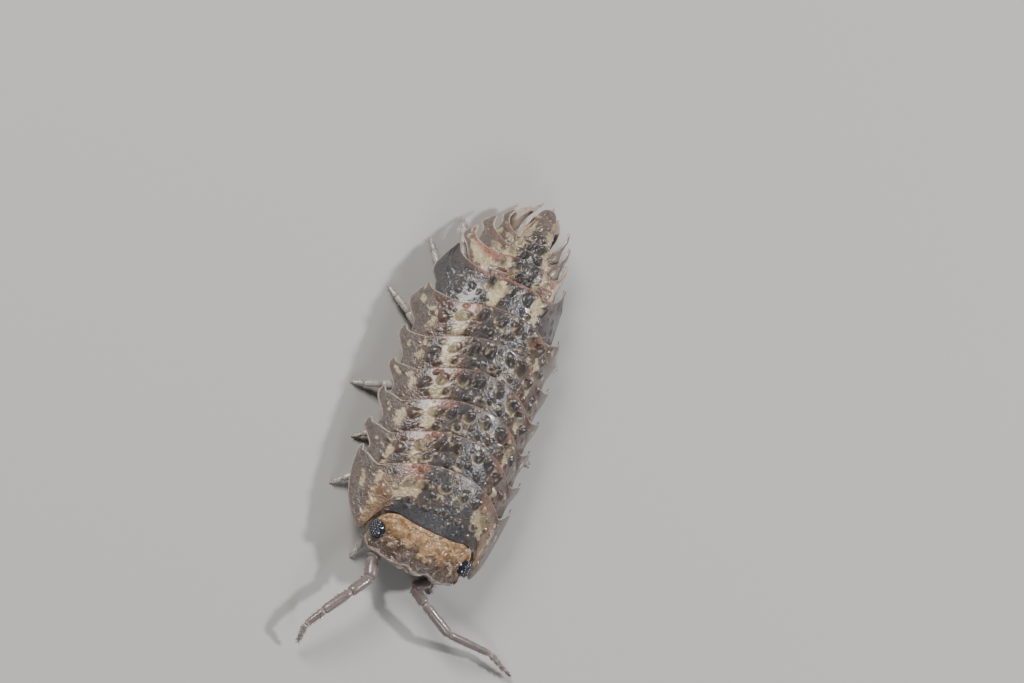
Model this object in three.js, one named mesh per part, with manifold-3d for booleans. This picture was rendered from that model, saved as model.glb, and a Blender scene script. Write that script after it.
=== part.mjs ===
// A woodlouse, life size and standing still on its fourteen legs.
// Millimetres, +Z up. The head points to -Y and the animal's left side is +X.
// Every plate and limb is one closed solid in a mesh of its own.

import * as THREE from 'three';
import { mergeVertices } from 'three/addons/utils/BufferGeometryUtils.js';
import Module from 'manifold-3d';

const wasm = await Module();
wasm.setup();

// Driving sizes of the whole animal
const BACK_HEIGHT = 2.5;
const HEAD_DROP = 0.95;
const TAIL_DROP = 1.5;
const EDGE_HEIGHT = 0.76;
const ARCH_POWER = 2.2;
const GAP = 0.1;
const PLATE_THICKNESS = 0.21;
const TILE_STEP = 0.1;
const BELLY_HEIGHT = 0.86;
const BELLY_HALF_WIDTH = 1.4;
const TAIL_BEND = 0.055;
const TAIL_BEND_START = 2.4;

// Half width of the body's outline at stations along its length
const OUTLINE = [
  [-6.2, 2.5], [-4.4, 2.56], [-2.3, 2.66], [0.5, 2.57], [1.6, 2.58], [2.3, 2.44], [3, 2.28], [4.1, 1.84],
  [4.9, 1.56], [5.35, 1.34], [5.75, 1.08], [6.2, 0.8]
];

// The seven leg-bearing segments. hind is the rear margin on the mid-line and notch its foremost
// place at the side. From there it runs back through lobe to tip, the point of the side lobe.
// The lobe's outer edge starts at the notch in front and runs back through flank and outer.
const PEREONITES = [
  { hind: -3.15, notch: [2.1, -3.58], lobe: [2.4, -3.26], tip: [2.57, -3.0], outer: [2.6, -3.75] },
  { hind: -2.08, notch: [2.07, -2.57], lobe: [2.38, -2.36],
    tip: [2.61, -2.13], flank: [2.42, -2.98], outer: [2.66, -2.42] },
  { hind: -1.05, notch: [2.05, -1.53], lobe: [2.32, -1.34],
    tip: [2.54, -1.12], flank: [2.36, -2.08], outer: [2.58, -1.45] },
  { hind: -0.02, notch: [1.98, -0.49], lobe: [2.3, -0.37],
    tip: [2.51, -0.19], flank: [2.34, -1.05], outer: [2.56, -0.48] },
  { hind: 1.0, notch: [1.9, 0.58], lobe: [2.28, 0.65],
    tip: [2.5, 0.88], flank: [2.36, -0.06], outer: [2.56, 0.55] },
  { hind: 2.02, notch: [1.5, 1.84], lobe: [2.0, 2.04],
    tip: [2.28, 2.34], flank: [2.34, 0.97], outer: [2.57, 1.65] },
  { hind: 3.02, notch: [0.95, 2.98], lobe: [1.5, 3.26],
    tip: [1.84, 3.92], flank: [2.13, 2.42], outer: [2.24, 2.85] }
];
const FIRST_FRONT = -5.06;
const FIRST_FRONT_SIDE = -4.9;

// The five tail segments. The first two are short strips without side lobes.
const PLEONITES = [
  { front: 3.12, hind: 3.24, side: 0.8 },
  { front: 3.33, hind: 3.46, side: 0.9 },
  { front: 3.55, hind: 3.84, shoulder: [1.14, 3.4], notch: [0.95, 3.72], lobe: [1.4, 4.06],
    tip: [1.6, 4.68], flank: [1.66, 3.85], outer: [1.8, 4.28] },
  { hind: 4.2, notch: [0.75, 4.16], lobe: [1.1, 4.52],
    tip: [1.3, 5.2], flank: [1.44, 4.6], outer: [1.52, 4.85] },
  { hind: 4.56, notch: [0.6, 4.56], lobe: [0.88, 4.9],
    tip: [0.95, 5.6], flank: [1.1, 5.0], outer: [1.14, 5.3] }
];
const TELSON = { front: 4.66, hind: 6.02, side: 0.5 };
const UROPOD_BLADE = [
  [0.66, 4.74, 0.92, 0.11], [0.65, 5.1, 0.91, 0.18], [0.62, 5.55, 0.87, 0.17], [0.5, 5.92, 0.84, 0.08]
];
const UROPOD_ROD = [
  [0.6, 5.2, 0.8, 0.1], [0.38, 5.8, 0.68, 0.09], [0.26, 6.1, 0.64, 0.08], [0.2, 6.34, 0.62, 0.05]
];

// Blunt knobs on each half of a back plate, as shares of the half width and of the plate's length
const KNOBS = [
  { across: 0.11, back: 0.72, height: 0.24, radius: 0.13 },
  { across: 0.31, back: 0.7, height: 0.27, radius: 0.14 },
  { across: 0.5, back: 0.66, height: 0.2, radius: 0.13 },
  { across: 0.67, back: 0.6, height: 0.11, radius: 0.12 },
  { across: 0.21, back: 0.36, height: 0.15, radius: 0.11 },
  { across: 0.41, back: 0.36, height: 0.13, radius: 0.11 }
];
const TAIL_KNOBS = [
  { across: 0.18, back: 0.6, height: 0.15, radius: 0.08 },
  { across: 0.55, back: 0.6, height: 0.12, radius: 0.08 }
];
const HEAD_KNOBS = [[0.2, -5.75], [0.62, -5.55], [1.02, -5.72], [0.3, -5.32], [0.9, -5.28]];
const HEAD_KNOB = { height: 0.09, radius: 0.1 };
const KNOB_LEAN = 0.25;
const KNOB_ROOT = 0.1;
const KNOB_SEED = 7;

// Head
const HEAD_HALF_WIDTH = 1.6;
const HEAD_FRONT = -6.12;
const HEAD_REAR = -5.17;
const HEAD_REAR_SIDE = -5.02;
const HEAD_FRONT_HEIGHT = 1.84;
const HEAD_REAR_HEIGHT = 2.1;
const HEAD_SIDE_DROP = 0.62;
const HEAD_RIM = 0.22;
const HEAD_BOTTOM = 0.72;
const EYE_CENTRE = [1.47, -5.33, 1.4];
const EYE_RADII = [0.27, 0.31, 0.29];

// Legs: where each one leaves the belly, and where its foot stands, on the right side.
const LEG_ROOT_X = 1.05;
const LEG_ROOT_RADIUS = 0.25;
const LEG_TIP_RADIUS = 0.09;
const LEG_SIDES = 6;
const JOINT_OVERLAP = 0.5;
const JOINT_WAIST = 0.72;
const LEGS = [
  { root: -4.25, foot: [1.42, -6.1] },
  { root: -2.72, foot: [2.8, -4.3] },
  { root: -1.66, foot: [2.62, -2.72] },
  { root: -0.6, foot: [3.22, -1.22] },
  { root: 0.42, foot: [3.1, 2.0] },
  { root: 1.46, foot: [2.42, 3.95] },
  { root: 2.5, foot: [1.86, 5.0] }
];

// Colours of the animal's parts, with how rough each one is
const COLOURS = {
  back: { color: 0x5c5550, roughness: 0.35 },
  head: { color: 0x9a6a4a, roughness: 0.4 },
  tail: { color: 0xa8705a, roughness: 0.4 },
  eye: { color: 0x14161c, roughness: 0.15 },
  limb: { color: 0xc9c2b8, roughness: 0.45 },
  feeler: { color: 0xb59a8a, roughness: 0.45 }
};

function material(name) {
  const look = COLOURS[name];
  return new THREE.MeshStandardMaterial({ color: look.color, roughness: look.roughness, metalness: 0 });
}

// Value at one place of a list of [place, value] pairs, in a straight line between neighbours
function between(list, place) {
  if (place <= list[0][0]) return list[0][1];
  for (let i = 1; i < list.length; i++) {
    if (place <= list[i][0]) {
      const t = (place - list[i - 1][0]) / (list[i][0] - list[i - 1][0]);
      return list[i - 1][1] + (list[i][1] - list[i - 1][1]) * t;
    }
  }
  return list[list.length - 1][1];
}

function smooth(low, high, value) {
  const t = Math.min(1, Math.max(0, (value - low) / (high - low)));
  return t * t * (3 - 2 * t);
}

// Height of the back on the mid-line
function crest(y) {
  const front = Math.max(0, (-3 - y) / 3.1);
  const rear = Math.max(0, (y - 1.5) / 4.7);
  return BACK_HEIGHT - HEAD_DROP * front * front - TAIL_DROP * rear * rear;
}

// Height of the arched back at any place
function arch(x, y) {
  const side = Math.min(1.05, Math.abs(x) / between(OUTLINE, y));
  const top = crest(y);
  const edge = Math.min(EDGE_HEIGHT, top - 0.1);
  return top - (top - edge) * Math.pow(side, ARCH_POWER);
}

// The tail swings gently to the animal's left
function bend(y) {
  const past = Math.max(0, y - TAIL_BEND_START);
  return TAIL_BEND * past * past;
}

function bent(point) {
  return new THREE.Vector3(point.x + bend(point.y), point.y, point.z);
}

// A closed slab between two grids of points with the same rows and columns
function slab(top, bottom) {
  const columns = top.length;
  const rows = top[0].length;
  const positions = [];
  const index = [];
  for (const grid of [top, bottom]) {
    for (const column of grid) {
      for (const point of column) positions.push(point.x, point.y, point.z);
    }
  }
  const at = (layer, i, j) => layer * columns * rows + i * rows + j;
  const quad = (a, b, c, d) => index.push(a, b, c, a, c, d);
  for (let i = 0; i < columns - 1; i++) {
    for (let j = 0; j < rows - 1; j++) {
      quad(at(0, i, j), at(0, i + 1, j), at(0, i + 1, j + 1), at(0, i, j + 1));
      quad(at(1, i, j), at(1, i, j + 1), at(1, i + 1, j + 1), at(1, i + 1, j));
    }
    quad(at(1, i, 0), at(1, i + 1, 0), at(0, i + 1, 0), at(0, i, 0));
    quad(at(0, i, rows - 1), at(0, i + 1, rows - 1), at(1, i + 1, rows - 1), at(1, i, rows - 1));
  }
  for (let j = 0; j < rows - 1; j++) {
    quad(at(0, 0, j), at(0, 0, j + 1), at(1, 0, j + 1), at(1, 0, j));
    quad(at(1, columns - 1, j), at(1, columns - 1, j + 1), at(0, columns - 1, j + 1), at(0, columns - 1, j));
  }
  const geometry = new THREE.BufferGeometry();
  geometry.setAttribute('position', new THREE.Float32BufferAttribute(positions, 3));
  geometry.setIndex(index);
  return geometry;
}

function curve(points) {
  const places = points.map((p) => new THREE.Vector3(p[0], p[1], 0));
  return new THREE.CatmullRomCurve3(places, false, 'centripetal');
}

// A plate between a front and a rear margin, both given from the mid-line to the side's tip.
// top and under give the heights of its two faces at a place and a share of the way back.
function plate(frontMargin, hindMargin, half, rows, top, under) {
  const tops = [];
  const bottoms = [];
  for (let i = -half; i <= half; i++) {
    const t = Math.abs(i) / half;
    const side = Math.sign(i);
    const front = frontMargin.getPointAt(t);
    const hind = hindMargin.getPointAt(t);
    const topColumn = [];
    const bottomColumn = [];
    for (let j = 0; j <= rows; j++) {
      const v = j / rows;
      const x = (front.x + (hind.x - front.x) * v) * side;
      const y = front.y + (hind.y - front.y) * v;
      topColumn.push(bent(new THREE.Vector3(x, y, top(x, y, v, t))));
      bottomColumn.push(bent(new THREE.Vector3(x, y, under(x, y, v, t))));
    }
    tops.push(topColumn);
    bottoms.push(bottomColumn);
  }
  return slab(tops, bottoms);
}

function shellTop(x, y, v, t) {
  const tile = TILE_STEP * (v - 0.6) * (1 - 0.6 * t);
  return arch(x, y) + tile + 0.03 * Math.sin(Math.PI * v);
}

function shellUnder(bellyHalf) {
  return (x, y, v, t) => {
    const shell = arch(x, y) - PLATE_THICKNESS;
    const belly = Math.min(BELLY_HEIGHT, shell);
    return belly + (shell - belly) * smooth(bellyHalf, bellyHalf + 0.3, Math.abs(x));
  };
}

// The stretch of a rear margin between the mid-line and the notch, moved back by a gap
function middleMargin(segment, gap) {
  const [nx, ny] = segment.notch;
  const shares = [0, 0.3, 0.6, 0.85];
  return shares.map((s) => [nx * s, segment.hind + gap + (ny - segment.hind) * s * s]);
}

// Rear margin from the mid-line through the notch to the tip of the side lobe
function hindMargin(segment) {
  const [tx, ty] = segment.tip;
  return curve([...middleMargin(segment, 0), segment.notch, segment.lobe, [tx - 0.04, ty - 0.03]]);
}

// Front margin of a segment that follows another one: it keeps the gap along that one's lobe,
// and then leaves it to run out to its own widest place
function followingFront(previous, segment) {
  const [nx, ny] = previous.notch;
  const [lx, ly] = previous.lobe;
  const run = Math.hypot(lx - nx, ly - ny);
  const clear = GAP + 0.03;
  return curve([
    ...middleMargin(previous, GAP), [nx, ny + clear],
    [lx - (ly - ny) / run * clear, ly + (lx - nx) / run * clear],
    segment.flank, segment.outer, [segment.tip[0] + 0.02, segment.tip[1] - 0.1]
  ]);
}

function firstFront(segment) {
  return curve([
    [0, FIRST_FRONT], [0.7, FIRST_FRONT * 0.6 + FIRST_FRONT_SIDE * 0.4], [1.3, FIRST_FRONT_SIDE],
    [1.74, FIRST_FRONT_SIDE - 0.12], [1.87, FIRST_FRONT_SIDE - 0.46], [1.95, -5.7], [2.13, -5.44],
    [2.34, -4.97], [2.5, -4.45], segment.outer, [segment.tip[0] + 0.02, segment.tip[1] - 0.12]
  ]);
}

function toSolid(geometry) {
  const bare = geometry.clone();
  bare.deleteAttribute('normal');
  bare.deleteAttribute('uv');
  const merged = mergeVertices(bare, 1e-4);
  return new wasm.Manifold(new wasm.Mesh({
    numProp: 3,
    vertProperties: new Float32Array(merged.attributes.position.array),
    triVerts: new Uint32Array(merged.index.array)
  }));
}

// The largest closed piece of a solid, as a geometry
function toGeometry(solid) {
  const pieces = solid.decompose();
  pieces.sort((a, b) => b.volume() - a.volume());
  const mesh = pieces[0].getMesh();
  const geometry = new THREE.BufferGeometry();
  geometry.setAttribute('position', new THREE.Float32BufferAttribute(mesh.vertProperties, 3));
  geometry.setIndex(Array.from(mesh.triVerts));
  return geometry;
}

// A round body through a row of places, each with its own radius, closed at both ends.
// flat gives the height of the section as a share of its width.
function limb(stations, sides, firstAxis, flat = 1) {
  const centres = stations.map((s) => new THREE.Vector3(s[0], s[1], s[2]));
  const positions = [];
  const index = [];
  let across = null;
  for (let i = 0; i < centres.length; i++) {
    const ahead = centres[Math.min(i + 1, centres.length - 1)];
    const behind = centres[Math.max(i - 1, 0)];
    const axis = ahead.clone().sub(behind).normalize();
    if (i === 0 && firstAxis) axis.copy(firstAxis);
    if (across === null) {
      across = new THREE.Vector3(0, 0, 1).cross(axis);
      if (across.length() < 0.2) across = new THREE.Vector3(1, 0, 0).cross(axis);
    }
    across.addScaledVector(axis, -across.dot(axis)).normalize();
    const up = axis.clone().cross(across).normalize();
    for (let k = 0; k < sides; k++) {
      const angle = (k / sides) * 2 * Math.PI;
      const point = centres[i].clone();
      point.addScaledVector(across, Math.cos(angle) * stations[i][3]);
      point.addScaledVector(up, Math.sin(angle) * stations[i][3] * flat);
      positions.push(point.x, point.y, point.z);
    }
  }
  for (let i = 0; i < centres.length - 1; i++) {
    for (let k = 0; k < sides; k++) {
      const next = (k + 1) % sides;
      const a = i * sides + k;
      const b = i * sides + next;
      index.push(a, b, b + sides, a, b + sides, a + sides);
    }
  }
  const last = (centres.length - 1) * sides;
  for (let k = 1; k < sides - 1; k++) {
    index.push(0, k + 1, k);
    index.push(last, last + k, last + k + 1);
  }
  const geometry = new THREE.BufferGeometry();
  geometry.setAttribute('position', new THREE.Float32BufferAttribute(positions, 3));
  geometry.setIndex(index);
  return geometry;
}

// A jointed limb: each article is a straight spindle, and neighbours run into each other at the joint
function jointed(joints, sides, firstAxis) {
  let solid = null;
  for (let i = 0; i < joints.length - 1; i++) {
    const a = joints[i];
    const b = joints[i + 1];
    const length = Math.hypot(b[0] - a[0], b[1] - a[1], b[2] - a[2]);
    const before = i === 0 ? 0 : -JOINT_OVERLAP * a[3] / length;
    const after = i === joints.length - 2 ? 1 : 1 + JOINT_OVERLAP * b[3] / length;
    const middle = sides > 6 ? [[0.22, 1], [0.7, 1.05]] : [[0.45, 1.04]];
    const swellings = [
      [before, i === 0 ? 1 : JOINT_WAIST], ...middle, [after, i === joints.length - 2 ? 1 : JOINT_WAIST]
    ];
    const stations = swellings.map(([share, swell]) => {
      const at = [0, 1, 2, 3].map((k) => a[k] + (b[k] - a[k]) * share);
      at[3] = (a[3] + (b[3] - a[3]) * Math.min(1, Math.max(0, share))) * swell;
      return at;
    });
    const article = toSolid(limb(stations, sides, i === 0 ? firstAxis : null));
    solid = solid === null ? article : solid.add(article);
  }
  return solid;
}

const root = new THREE.Group();

function addNode(name, geometry, look, pivot, parent = root) {
  const placed = geometry.clone();
  placed.translate(-pivot[0], -pivot[1], -pivot[2]);
  placed.computeVertexNormals();
  const mesh = new THREE.Mesh(placed, material(look));
  mesh.name = name;
  mesh.position.set(pivot[0], pivot[1], pivot[2]);
  parent.add(mesh);
  return mesh;
}

// A short blunt knob with a rounded tip, standing on a place of the back and leaning to the rear
let seed = KNOB_SEED;
function chance() {
  seed = (seed * 1664525 + 1013904223) % 4294967296;
  return seed / 4294967296;
}

function knob(place, outward, height, radius) {
  const profile = [
    new THREE.Vector2(0, -KNOB_ROOT), new THREE.Vector2(radius, -KNOB_ROOT),
    new THREE.Vector2(radius * 0.62, height * 0.62), new THREE.Vector2(0, height)
  ];
  const geometry = new THREE.LatheGeometry(profile, 5);
  geometry.rotateY(chance() * Math.PI);
  const turn = new THREE.Quaternion().setFromUnitVectors(new THREE.Vector3(0, 1, 0), outward);
  geometry.applyQuaternion(turn);
  geometry.translate(place.x, place.y, place.z);
  return toSolid(geometry);
}

// Direction straight out of the back at a place
function outwardAt(x, y) {
  const step = 0.05;
  const across = (arch(x + step, y) - arch(x - step, y)) / (2 * step);
  const along = (arch(x, y + step) - arch(x, y - step)) / (2 * step);
  return new THREE.Vector3(-across, KNOB_LEAN - along, 1).normalize();
}

function withKnobs(geometry, knobs, halfWidth, frontAt, hindAt, scale) {
  let solid = toSolid(geometry);
  for (const size of knobs) {
    for (const side of [-1, 1]) {
      const x = side * halfWidth * (size.across + 0.02 * (chance() - 0.5));
      const v = size.back + 0.08 * (chance() - 0.5);
      const y = frontAt(Math.abs(x)) + (hindAt(Math.abs(x)) - frontAt(Math.abs(x))) * v;
      const place = bent(new THREE.Vector3(x, y, shellTop(x, y, v, 0.4)));
      const height = size.height * scale * (0.88 + 0.24 * chance());
      solid = solid.add(knob(place, outwardAt(x, y), height, size.radius * (0.92 + 0.16 * chance())));
    }
  }
  return toGeometry(solid);
}

function hindAt(segment) {
  const [nx, ny] = segment.notch;
  return (x) => segment.hind + (ny - segment.hind) * Math.pow(Math.min(1, x / nx), 2);
}

// Back plates of the seven leg-bearing segments
const back = new THREE.Group();
root.add(back);
PEREONITES.forEach((segment, n) => {
  const front = n === 0 ? firstFront(segment) : followingFront(PEREONITES[n - 1], segment);
  const bare = plate(front, hindMargin(segment), n === 0 ? 18 : 14, n === 0 ? 4 : 3, shellTop,
    shellUnder(BELLY_HALF_WIDTH));
  const before = n === 0 ? () => -4.5 : (x) => hindAt(PEREONITES[n - 1])(x) + GAP;
  const geometry = withKnobs(bare, KNOBS, 2.7, before, hindAt(segment), 0.85 + 0.05 * n);
  const middle = n === 0 ? (FIRST_FRONT + segment.hind) / 2 : segment.hind - 0.5;
  addNode(`pereonite_${n + 1}`, geometry, 'back', [bend(middle), middle, BELLY_HEIGHT], back);
});

// Tail plates
const tail = new THREE.Group();
root.add(tail);
PLEONITES.forEach((segment, n) => {
  let front;
  let hind;
  if (segment.side) {
    const side = segment.side;
    front = curve([[0, segment.front], [side * 0.6, segment.front], [side, segment.front + 0.02]]);
    hind = curve([[0, segment.hind], [side * 0.6, segment.hind], [side + 0.03, segment.hind - 0.01]]);
  } else if (segment.shoulder) {
    const [lx, ly] = PEREONITES[6].lobe;
    front = curve([
      [0, segment.front], [0.6, segment.front], [1.0, segment.front - 0.03], segment.shoulder,
      [lx - 0.05, ly + 0.12], segment.flank, segment.outer, [segment.tip[0] + 0.02, segment.tip[1] - 0.1]
    ]);
    hind = hindMargin(segment);
  } else {
    front = followingFront(PLEONITES[n - 1], segment);
    hind = hindMargin(segment);
  }
  const bellyHalf = [0.6, 0.65, 0.8, 0.6, 0.45][n];
  const bare = plate(front, hind, 10, segment.side ? 1 : 2, shellTop, shellUnder(bellyHalf));
  const start = segment.front || PLEONITES[n - 1].hind + GAP;
  const knobs = segment.side ? [] : TAIL_KNOBS;
  const width = segment.side || segment.notch[0] + 0.1;
  const geometry = withKnobs(bare, knobs, width, () => start, () => segment.hind, 1);
  const middle = (start + segment.hind) / 2;
  addNode(`pleonite_${n + 1}`, geometry, 'tail', [bend(middle), middle, BELLY_HEIGHT], tail);
});

const telsonFront = curve([[0, TELSON.front], [0.3, TELSON.front], [TELSON.side, TELSON.front + 0.06]]);
const telsonHind = curve([
  [0, TELSON.hind], [0.2, TELSON.hind - 0.05], [0.36, TELSON.hind - 0.2], [0.45, TELSON.hind - 0.52],
  [0.5, TELSON.front + 0.45], [TELSON.side + 0.02, TELSON.front + 0.25]
]);
const telson = plate(telsonFront, telsonHind, 8, 4, shellTop, shellUnder(0.3));
addNode('pleotelson', telson, 'tail', [bend(5.4), 5.4, BELLY_HEIGHT], tail);

// Tail appendages: a flat outer blade and a thin inner rod on each side
for (const side of [-1, 1]) {
  const placed = (stations) => stations.map((s) => [side * s[0] + bend(s[1]), s[1], s[2], s[3]]);
  const blade = limb(placed(UROPOD_BLADE), 8, null, 0.42);
  const rod = limb(placed(UROPOD_ROD), 6, null);
  const name = side < 0 ? 'uropod_right' : 'uropod_left';
  const solid = toSolid(blade).add(toSolid(rod));
  addNode(name, toGeometry(solid), 'tail', [side * 0.6 + bend(5.5), 5.5, 0.85], tail);
}

// Head: a broad short shield with three lobes along its thin front rim, over a face set back under it
const headFront = curve([
  [0, HEAD_FRONT], [0.2, HEAD_FRONT + 0.02], [0.36, HEAD_FRONT + 0.13], [0.6, HEAD_FRONT + 0.1],
  [0.95, HEAD_FRONT + 0.15], [1.25, HEAD_FRONT + 0.24], [1.48, HEAD_FRONT + 0.3], [1.58, HEAD_FRONT + 0.44],
  [HEAD_HALF_WIDTH, HEAD_FRONT + 0.62]
]);
const headHind = curve([
  [0, HEAD_REAR], [0.7, HEAD_REAR * 0.6 + HEAD_REAR_SIDE * 0.4], [1.2, HEAD_REAR_SIDE],
  [1.48, HEAD_REAR_SIDE - 0.06], [HEAD_HALF_WIDTH, HEAD_REAR_SIDE - 0.26]
]);
const headTop = (x, y, v, t) => {
  const side = Math.abs(x) / HEAD_HALF_WIDTH;
  const middle = HEAD_FRONT_HEIGHT + (HEAD_REAR_HEIGHT - HEAD_FRONT_HEIGHT) * Math.sin(v * Math.PI * 0.5);
  return middle - HEAD_SIDE_DROP * Math.pow(side, 2.2) + 0.05 * Math.sin(Math.PI * v) * (1 - side);
};
const headUnder = (x, y, v, t) => {
  const thin = Math.max(1 - smooth(0.12, 0.4, v), smooth(0.86, 0.98, t));
  return HEAD_BOTTOM + (headTop(x, y, v, t) - HEAD_RIM - HEAD_BOTTOM) * thin;
};
let head = toSolid(plate(headFront, headHind, 13, 6, headTop, headUnder));
for (const [x, y] of HEAD_KNOBS) {
  for (const side of [-1, 1]) {
    const v = (y - HEAD_FRONT) / (HEAD_REAR - HEAD_FRONT);
    const place = new THREE.Vector3(side * x, y, headTop(x, y, v, 0) - 0.02);
    const outward = new THREE.Vector3(side * 0.2, 0, 1).normalize();
    head = head.add(knob(place, outward, HEAD_KNOB.height, HEAD_KNOB.radius));
  }
}
const mouth = new THREE.SphereGeometry(1, 12, 8);
mouth.scale(0.62, 0.42, 0.3);
mouth.translate(0, -5.55, 0.76);
head = head.add(toSolid(mouth));

// Eyes: an oval cluster of small round lenses on a shallow dome
function eyeSolid(side, extra) {
  const dome = new THREE.SphereGeometry(1, 14, 10);
  dome.scale(EYE_RADII[0] + extra, EYE_RADII[1] + extra, EYE_RADII[2] + extra);
  dome.translate(side * EYE_CENTRE[0], EYE_CENTRE[1], EYE_CENTRE[2]);
  return toSolid(dome);
}
for (const side of [-1, 1]) {
  head = head.subtract(eyeSolid(side, 0.08));
  addNode(side < 0 ? 'eye_right' : 'eye_left', toGeometry(eyeSolid(side, 0)), 'eye',
    [side * EYE_CENTRE[0], EYE_CENTRE[1], EYE_CENTRE[2]]);
}

// Feelers: each row is a joint's place and radius, from the socket in the head to the tip
const FEELERS = {
  antenna_right: [
    [-1.0, -5.66, 0.98, 0.25], [-1.16, -6.1, 1.02, 0.25], [-1.08, -6.7, 1.14, 0.25],
    [-1.55, -7.35, 1.2, 0.24], [-2.1, -8.15, 1.05, 0.2], [-2.42, -8.7, 0.86, 0.13], [-2.28, -9.24, 0.36, 0.07]
  ],
  antenna_left: [
    [0.92, -5.66, 0.98, 0.25], [0.84, -6.0, 0.98, 0.25], [0.47, -6.34, 0.86, 0.24], [0.9, -6.7, 1.02, 0.24],
    [2.02, -7.2, 0.88, 0.21], [3.7, -7.1, 0.46, 0.15], [4.74, -7.42, 0.2, 0.06]
  ]
};
for (const [name, joints] of Object.entries(FEELERS)) {
  const first = new THREE.Vector3(0, -1, 0);
  const feeler = jointed(joints, 8, first);
  const socket = limb([
    [joints[0][0], joints[0][1] + GAP, joints[0][2], joints[0][3] + 0.08],
    [joints[0][0], joints[0][1] - 0.1, joints[0][2], joints[0][3] + 0.08],
    [joints[1][0], joints[1][1], joints[1][2], joints[1][3] + 0.12]
  ], 12, first);
  head = head.subtract(toSolid(socket));
  addNode(name, toGeometry(feeler), 'feeler', joints[0].slice(0, 3));
}
addNode('head', toGeometry(head), 'head', [0, -5.4, 1.2]);

// Legs: each leaves the belly, bows up under the side lobe and comes down to a small flat foot
const underFloor = new THREE.BoxGeometry(30, 40, 2);
underFloor.translate(0, 0, -1);
const belowFloor = toSolid(underFloor);
LEGS.forEach((leg, n) => {
  for (const side of [-1, 1]) {
    const [fx, fy] = leg.foot;
    const rx = LEG_ROOT_X;
    const lift = BELLY_HEIGHT - GAP;
    const place = (share, height, radius) => [
      side * (rx + (fx - rx) * share) + bend(leg.root) * (1 - share) + bend(fy) * share,
      leg.root + (fy - leg.root) * share, height, radius
    ];
    const joints = [
      place(0, lift, LEG_ROOT_RADIUS),
      place(0.03, lift - 0.26, LEG_ROOT_RADIUS),
      place(0.4, 0.58, 0.22),
      place(0.74, 0.32, 0.16),
      place(1, -0.06, LEG_TIP_RADIUS)
    ];
    const solid = jointed(joints, LEG_SIDES, new THREE.Vector3(0, 0, -1)).subtract(belowFloor);
    const name = `leg_${side < 0 ? 'right' : 'left'}_${n + 1}`;
    addNode(name, toGeometry(solid), 'limb', joints[0].slice(0, 3));
  }
});

// The origin is the middle of the model's box, on the floor
const box = new THREE.Box3().setFromObject(root);
root.position.set(-(box.min.x + box.max.x) / 2, -(box.min.y + box.max.y) / 2, -box.min.z);

const woodlouse = new THREE.Group();
woodlouse.add(root);
woodlouse.updateMatrixWorld(true);

export default woodlouse;
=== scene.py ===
# %% [markdown]
# # A woodlouse in a museum case, life size
# A woodlouse is a land crustacean about 12 mm long. Its back is a row of overlapping horny plates
# with leaf-shaped side lobes, and its legs hardly show from above. The solid model gives every
# plate and limb its place, and this script gives them their fine shape and their finish.
# All numbers below are millimetres in the animal's own frame: the head points to -Y, the back is
# up, and the animal's left side is +X. They become metres when a mesh is written.

# %% Load the solid model
import math
from functools import partial

import bmesh
import bpy
import numpy as np
from mathutils import Matrix, Vector


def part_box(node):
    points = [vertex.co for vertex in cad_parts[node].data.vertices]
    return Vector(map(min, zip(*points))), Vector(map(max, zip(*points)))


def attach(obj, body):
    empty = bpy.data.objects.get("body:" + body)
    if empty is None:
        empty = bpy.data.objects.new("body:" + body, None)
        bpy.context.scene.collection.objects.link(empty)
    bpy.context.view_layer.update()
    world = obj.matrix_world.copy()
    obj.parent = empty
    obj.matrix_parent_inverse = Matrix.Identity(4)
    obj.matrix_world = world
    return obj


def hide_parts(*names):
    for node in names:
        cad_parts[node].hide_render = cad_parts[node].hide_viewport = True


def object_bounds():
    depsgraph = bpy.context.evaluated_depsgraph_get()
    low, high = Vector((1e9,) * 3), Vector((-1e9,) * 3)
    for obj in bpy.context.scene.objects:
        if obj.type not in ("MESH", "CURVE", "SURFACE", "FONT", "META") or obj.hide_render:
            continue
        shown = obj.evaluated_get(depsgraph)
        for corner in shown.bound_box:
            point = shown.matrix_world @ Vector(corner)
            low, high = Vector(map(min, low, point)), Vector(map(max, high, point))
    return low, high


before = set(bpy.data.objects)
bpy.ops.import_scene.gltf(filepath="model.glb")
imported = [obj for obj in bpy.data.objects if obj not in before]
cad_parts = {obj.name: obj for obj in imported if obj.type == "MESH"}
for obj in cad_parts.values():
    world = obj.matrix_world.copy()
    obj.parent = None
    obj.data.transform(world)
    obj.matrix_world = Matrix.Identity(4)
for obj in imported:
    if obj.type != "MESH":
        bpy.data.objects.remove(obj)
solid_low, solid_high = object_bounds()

MM = 0.001
print("solid model spans", [round(1000 * (h - l), 2) for l, h in zip(solid_low, solid_high)], "mm")

# %% [markdown]
# ## Where the animal stands
# The model's origin is the middle of its box. The animal's own frame has its zero near the
# middle of the body, so one known place, the right eye's centre, gives the shift between them.

# %% The shift between the two frames
EYE_CENTRE = (1.47, -5.33, 1.4)
EYE_RADII = (0.27, 0.31, 0.29)
eye_low, eye_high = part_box("eye_right")
eye_middle = (eye_low + eye_high) / 2 / MM
SHIFT = np.array([eye_middle.x + EYE_CENTRE[0], eye_middle.y - EYE_CENTRE[1], eye_middle.z - EYE_CENTRE[2]])
print("shift from the animal's frame", SHIFT.round(3))


def to_row(points):
    """Animal-frame millimetres to metres in the model's frame."""
    return (np.asarray(points, float) + SHIFT) * MM


# %% [markdown]
# ## The arch of the back
# The back is one long arch, and every plate lies on it like a roof tile. A few named sizes give
# its height along the mid-line, the width of its outline and the curve between the two.

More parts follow.
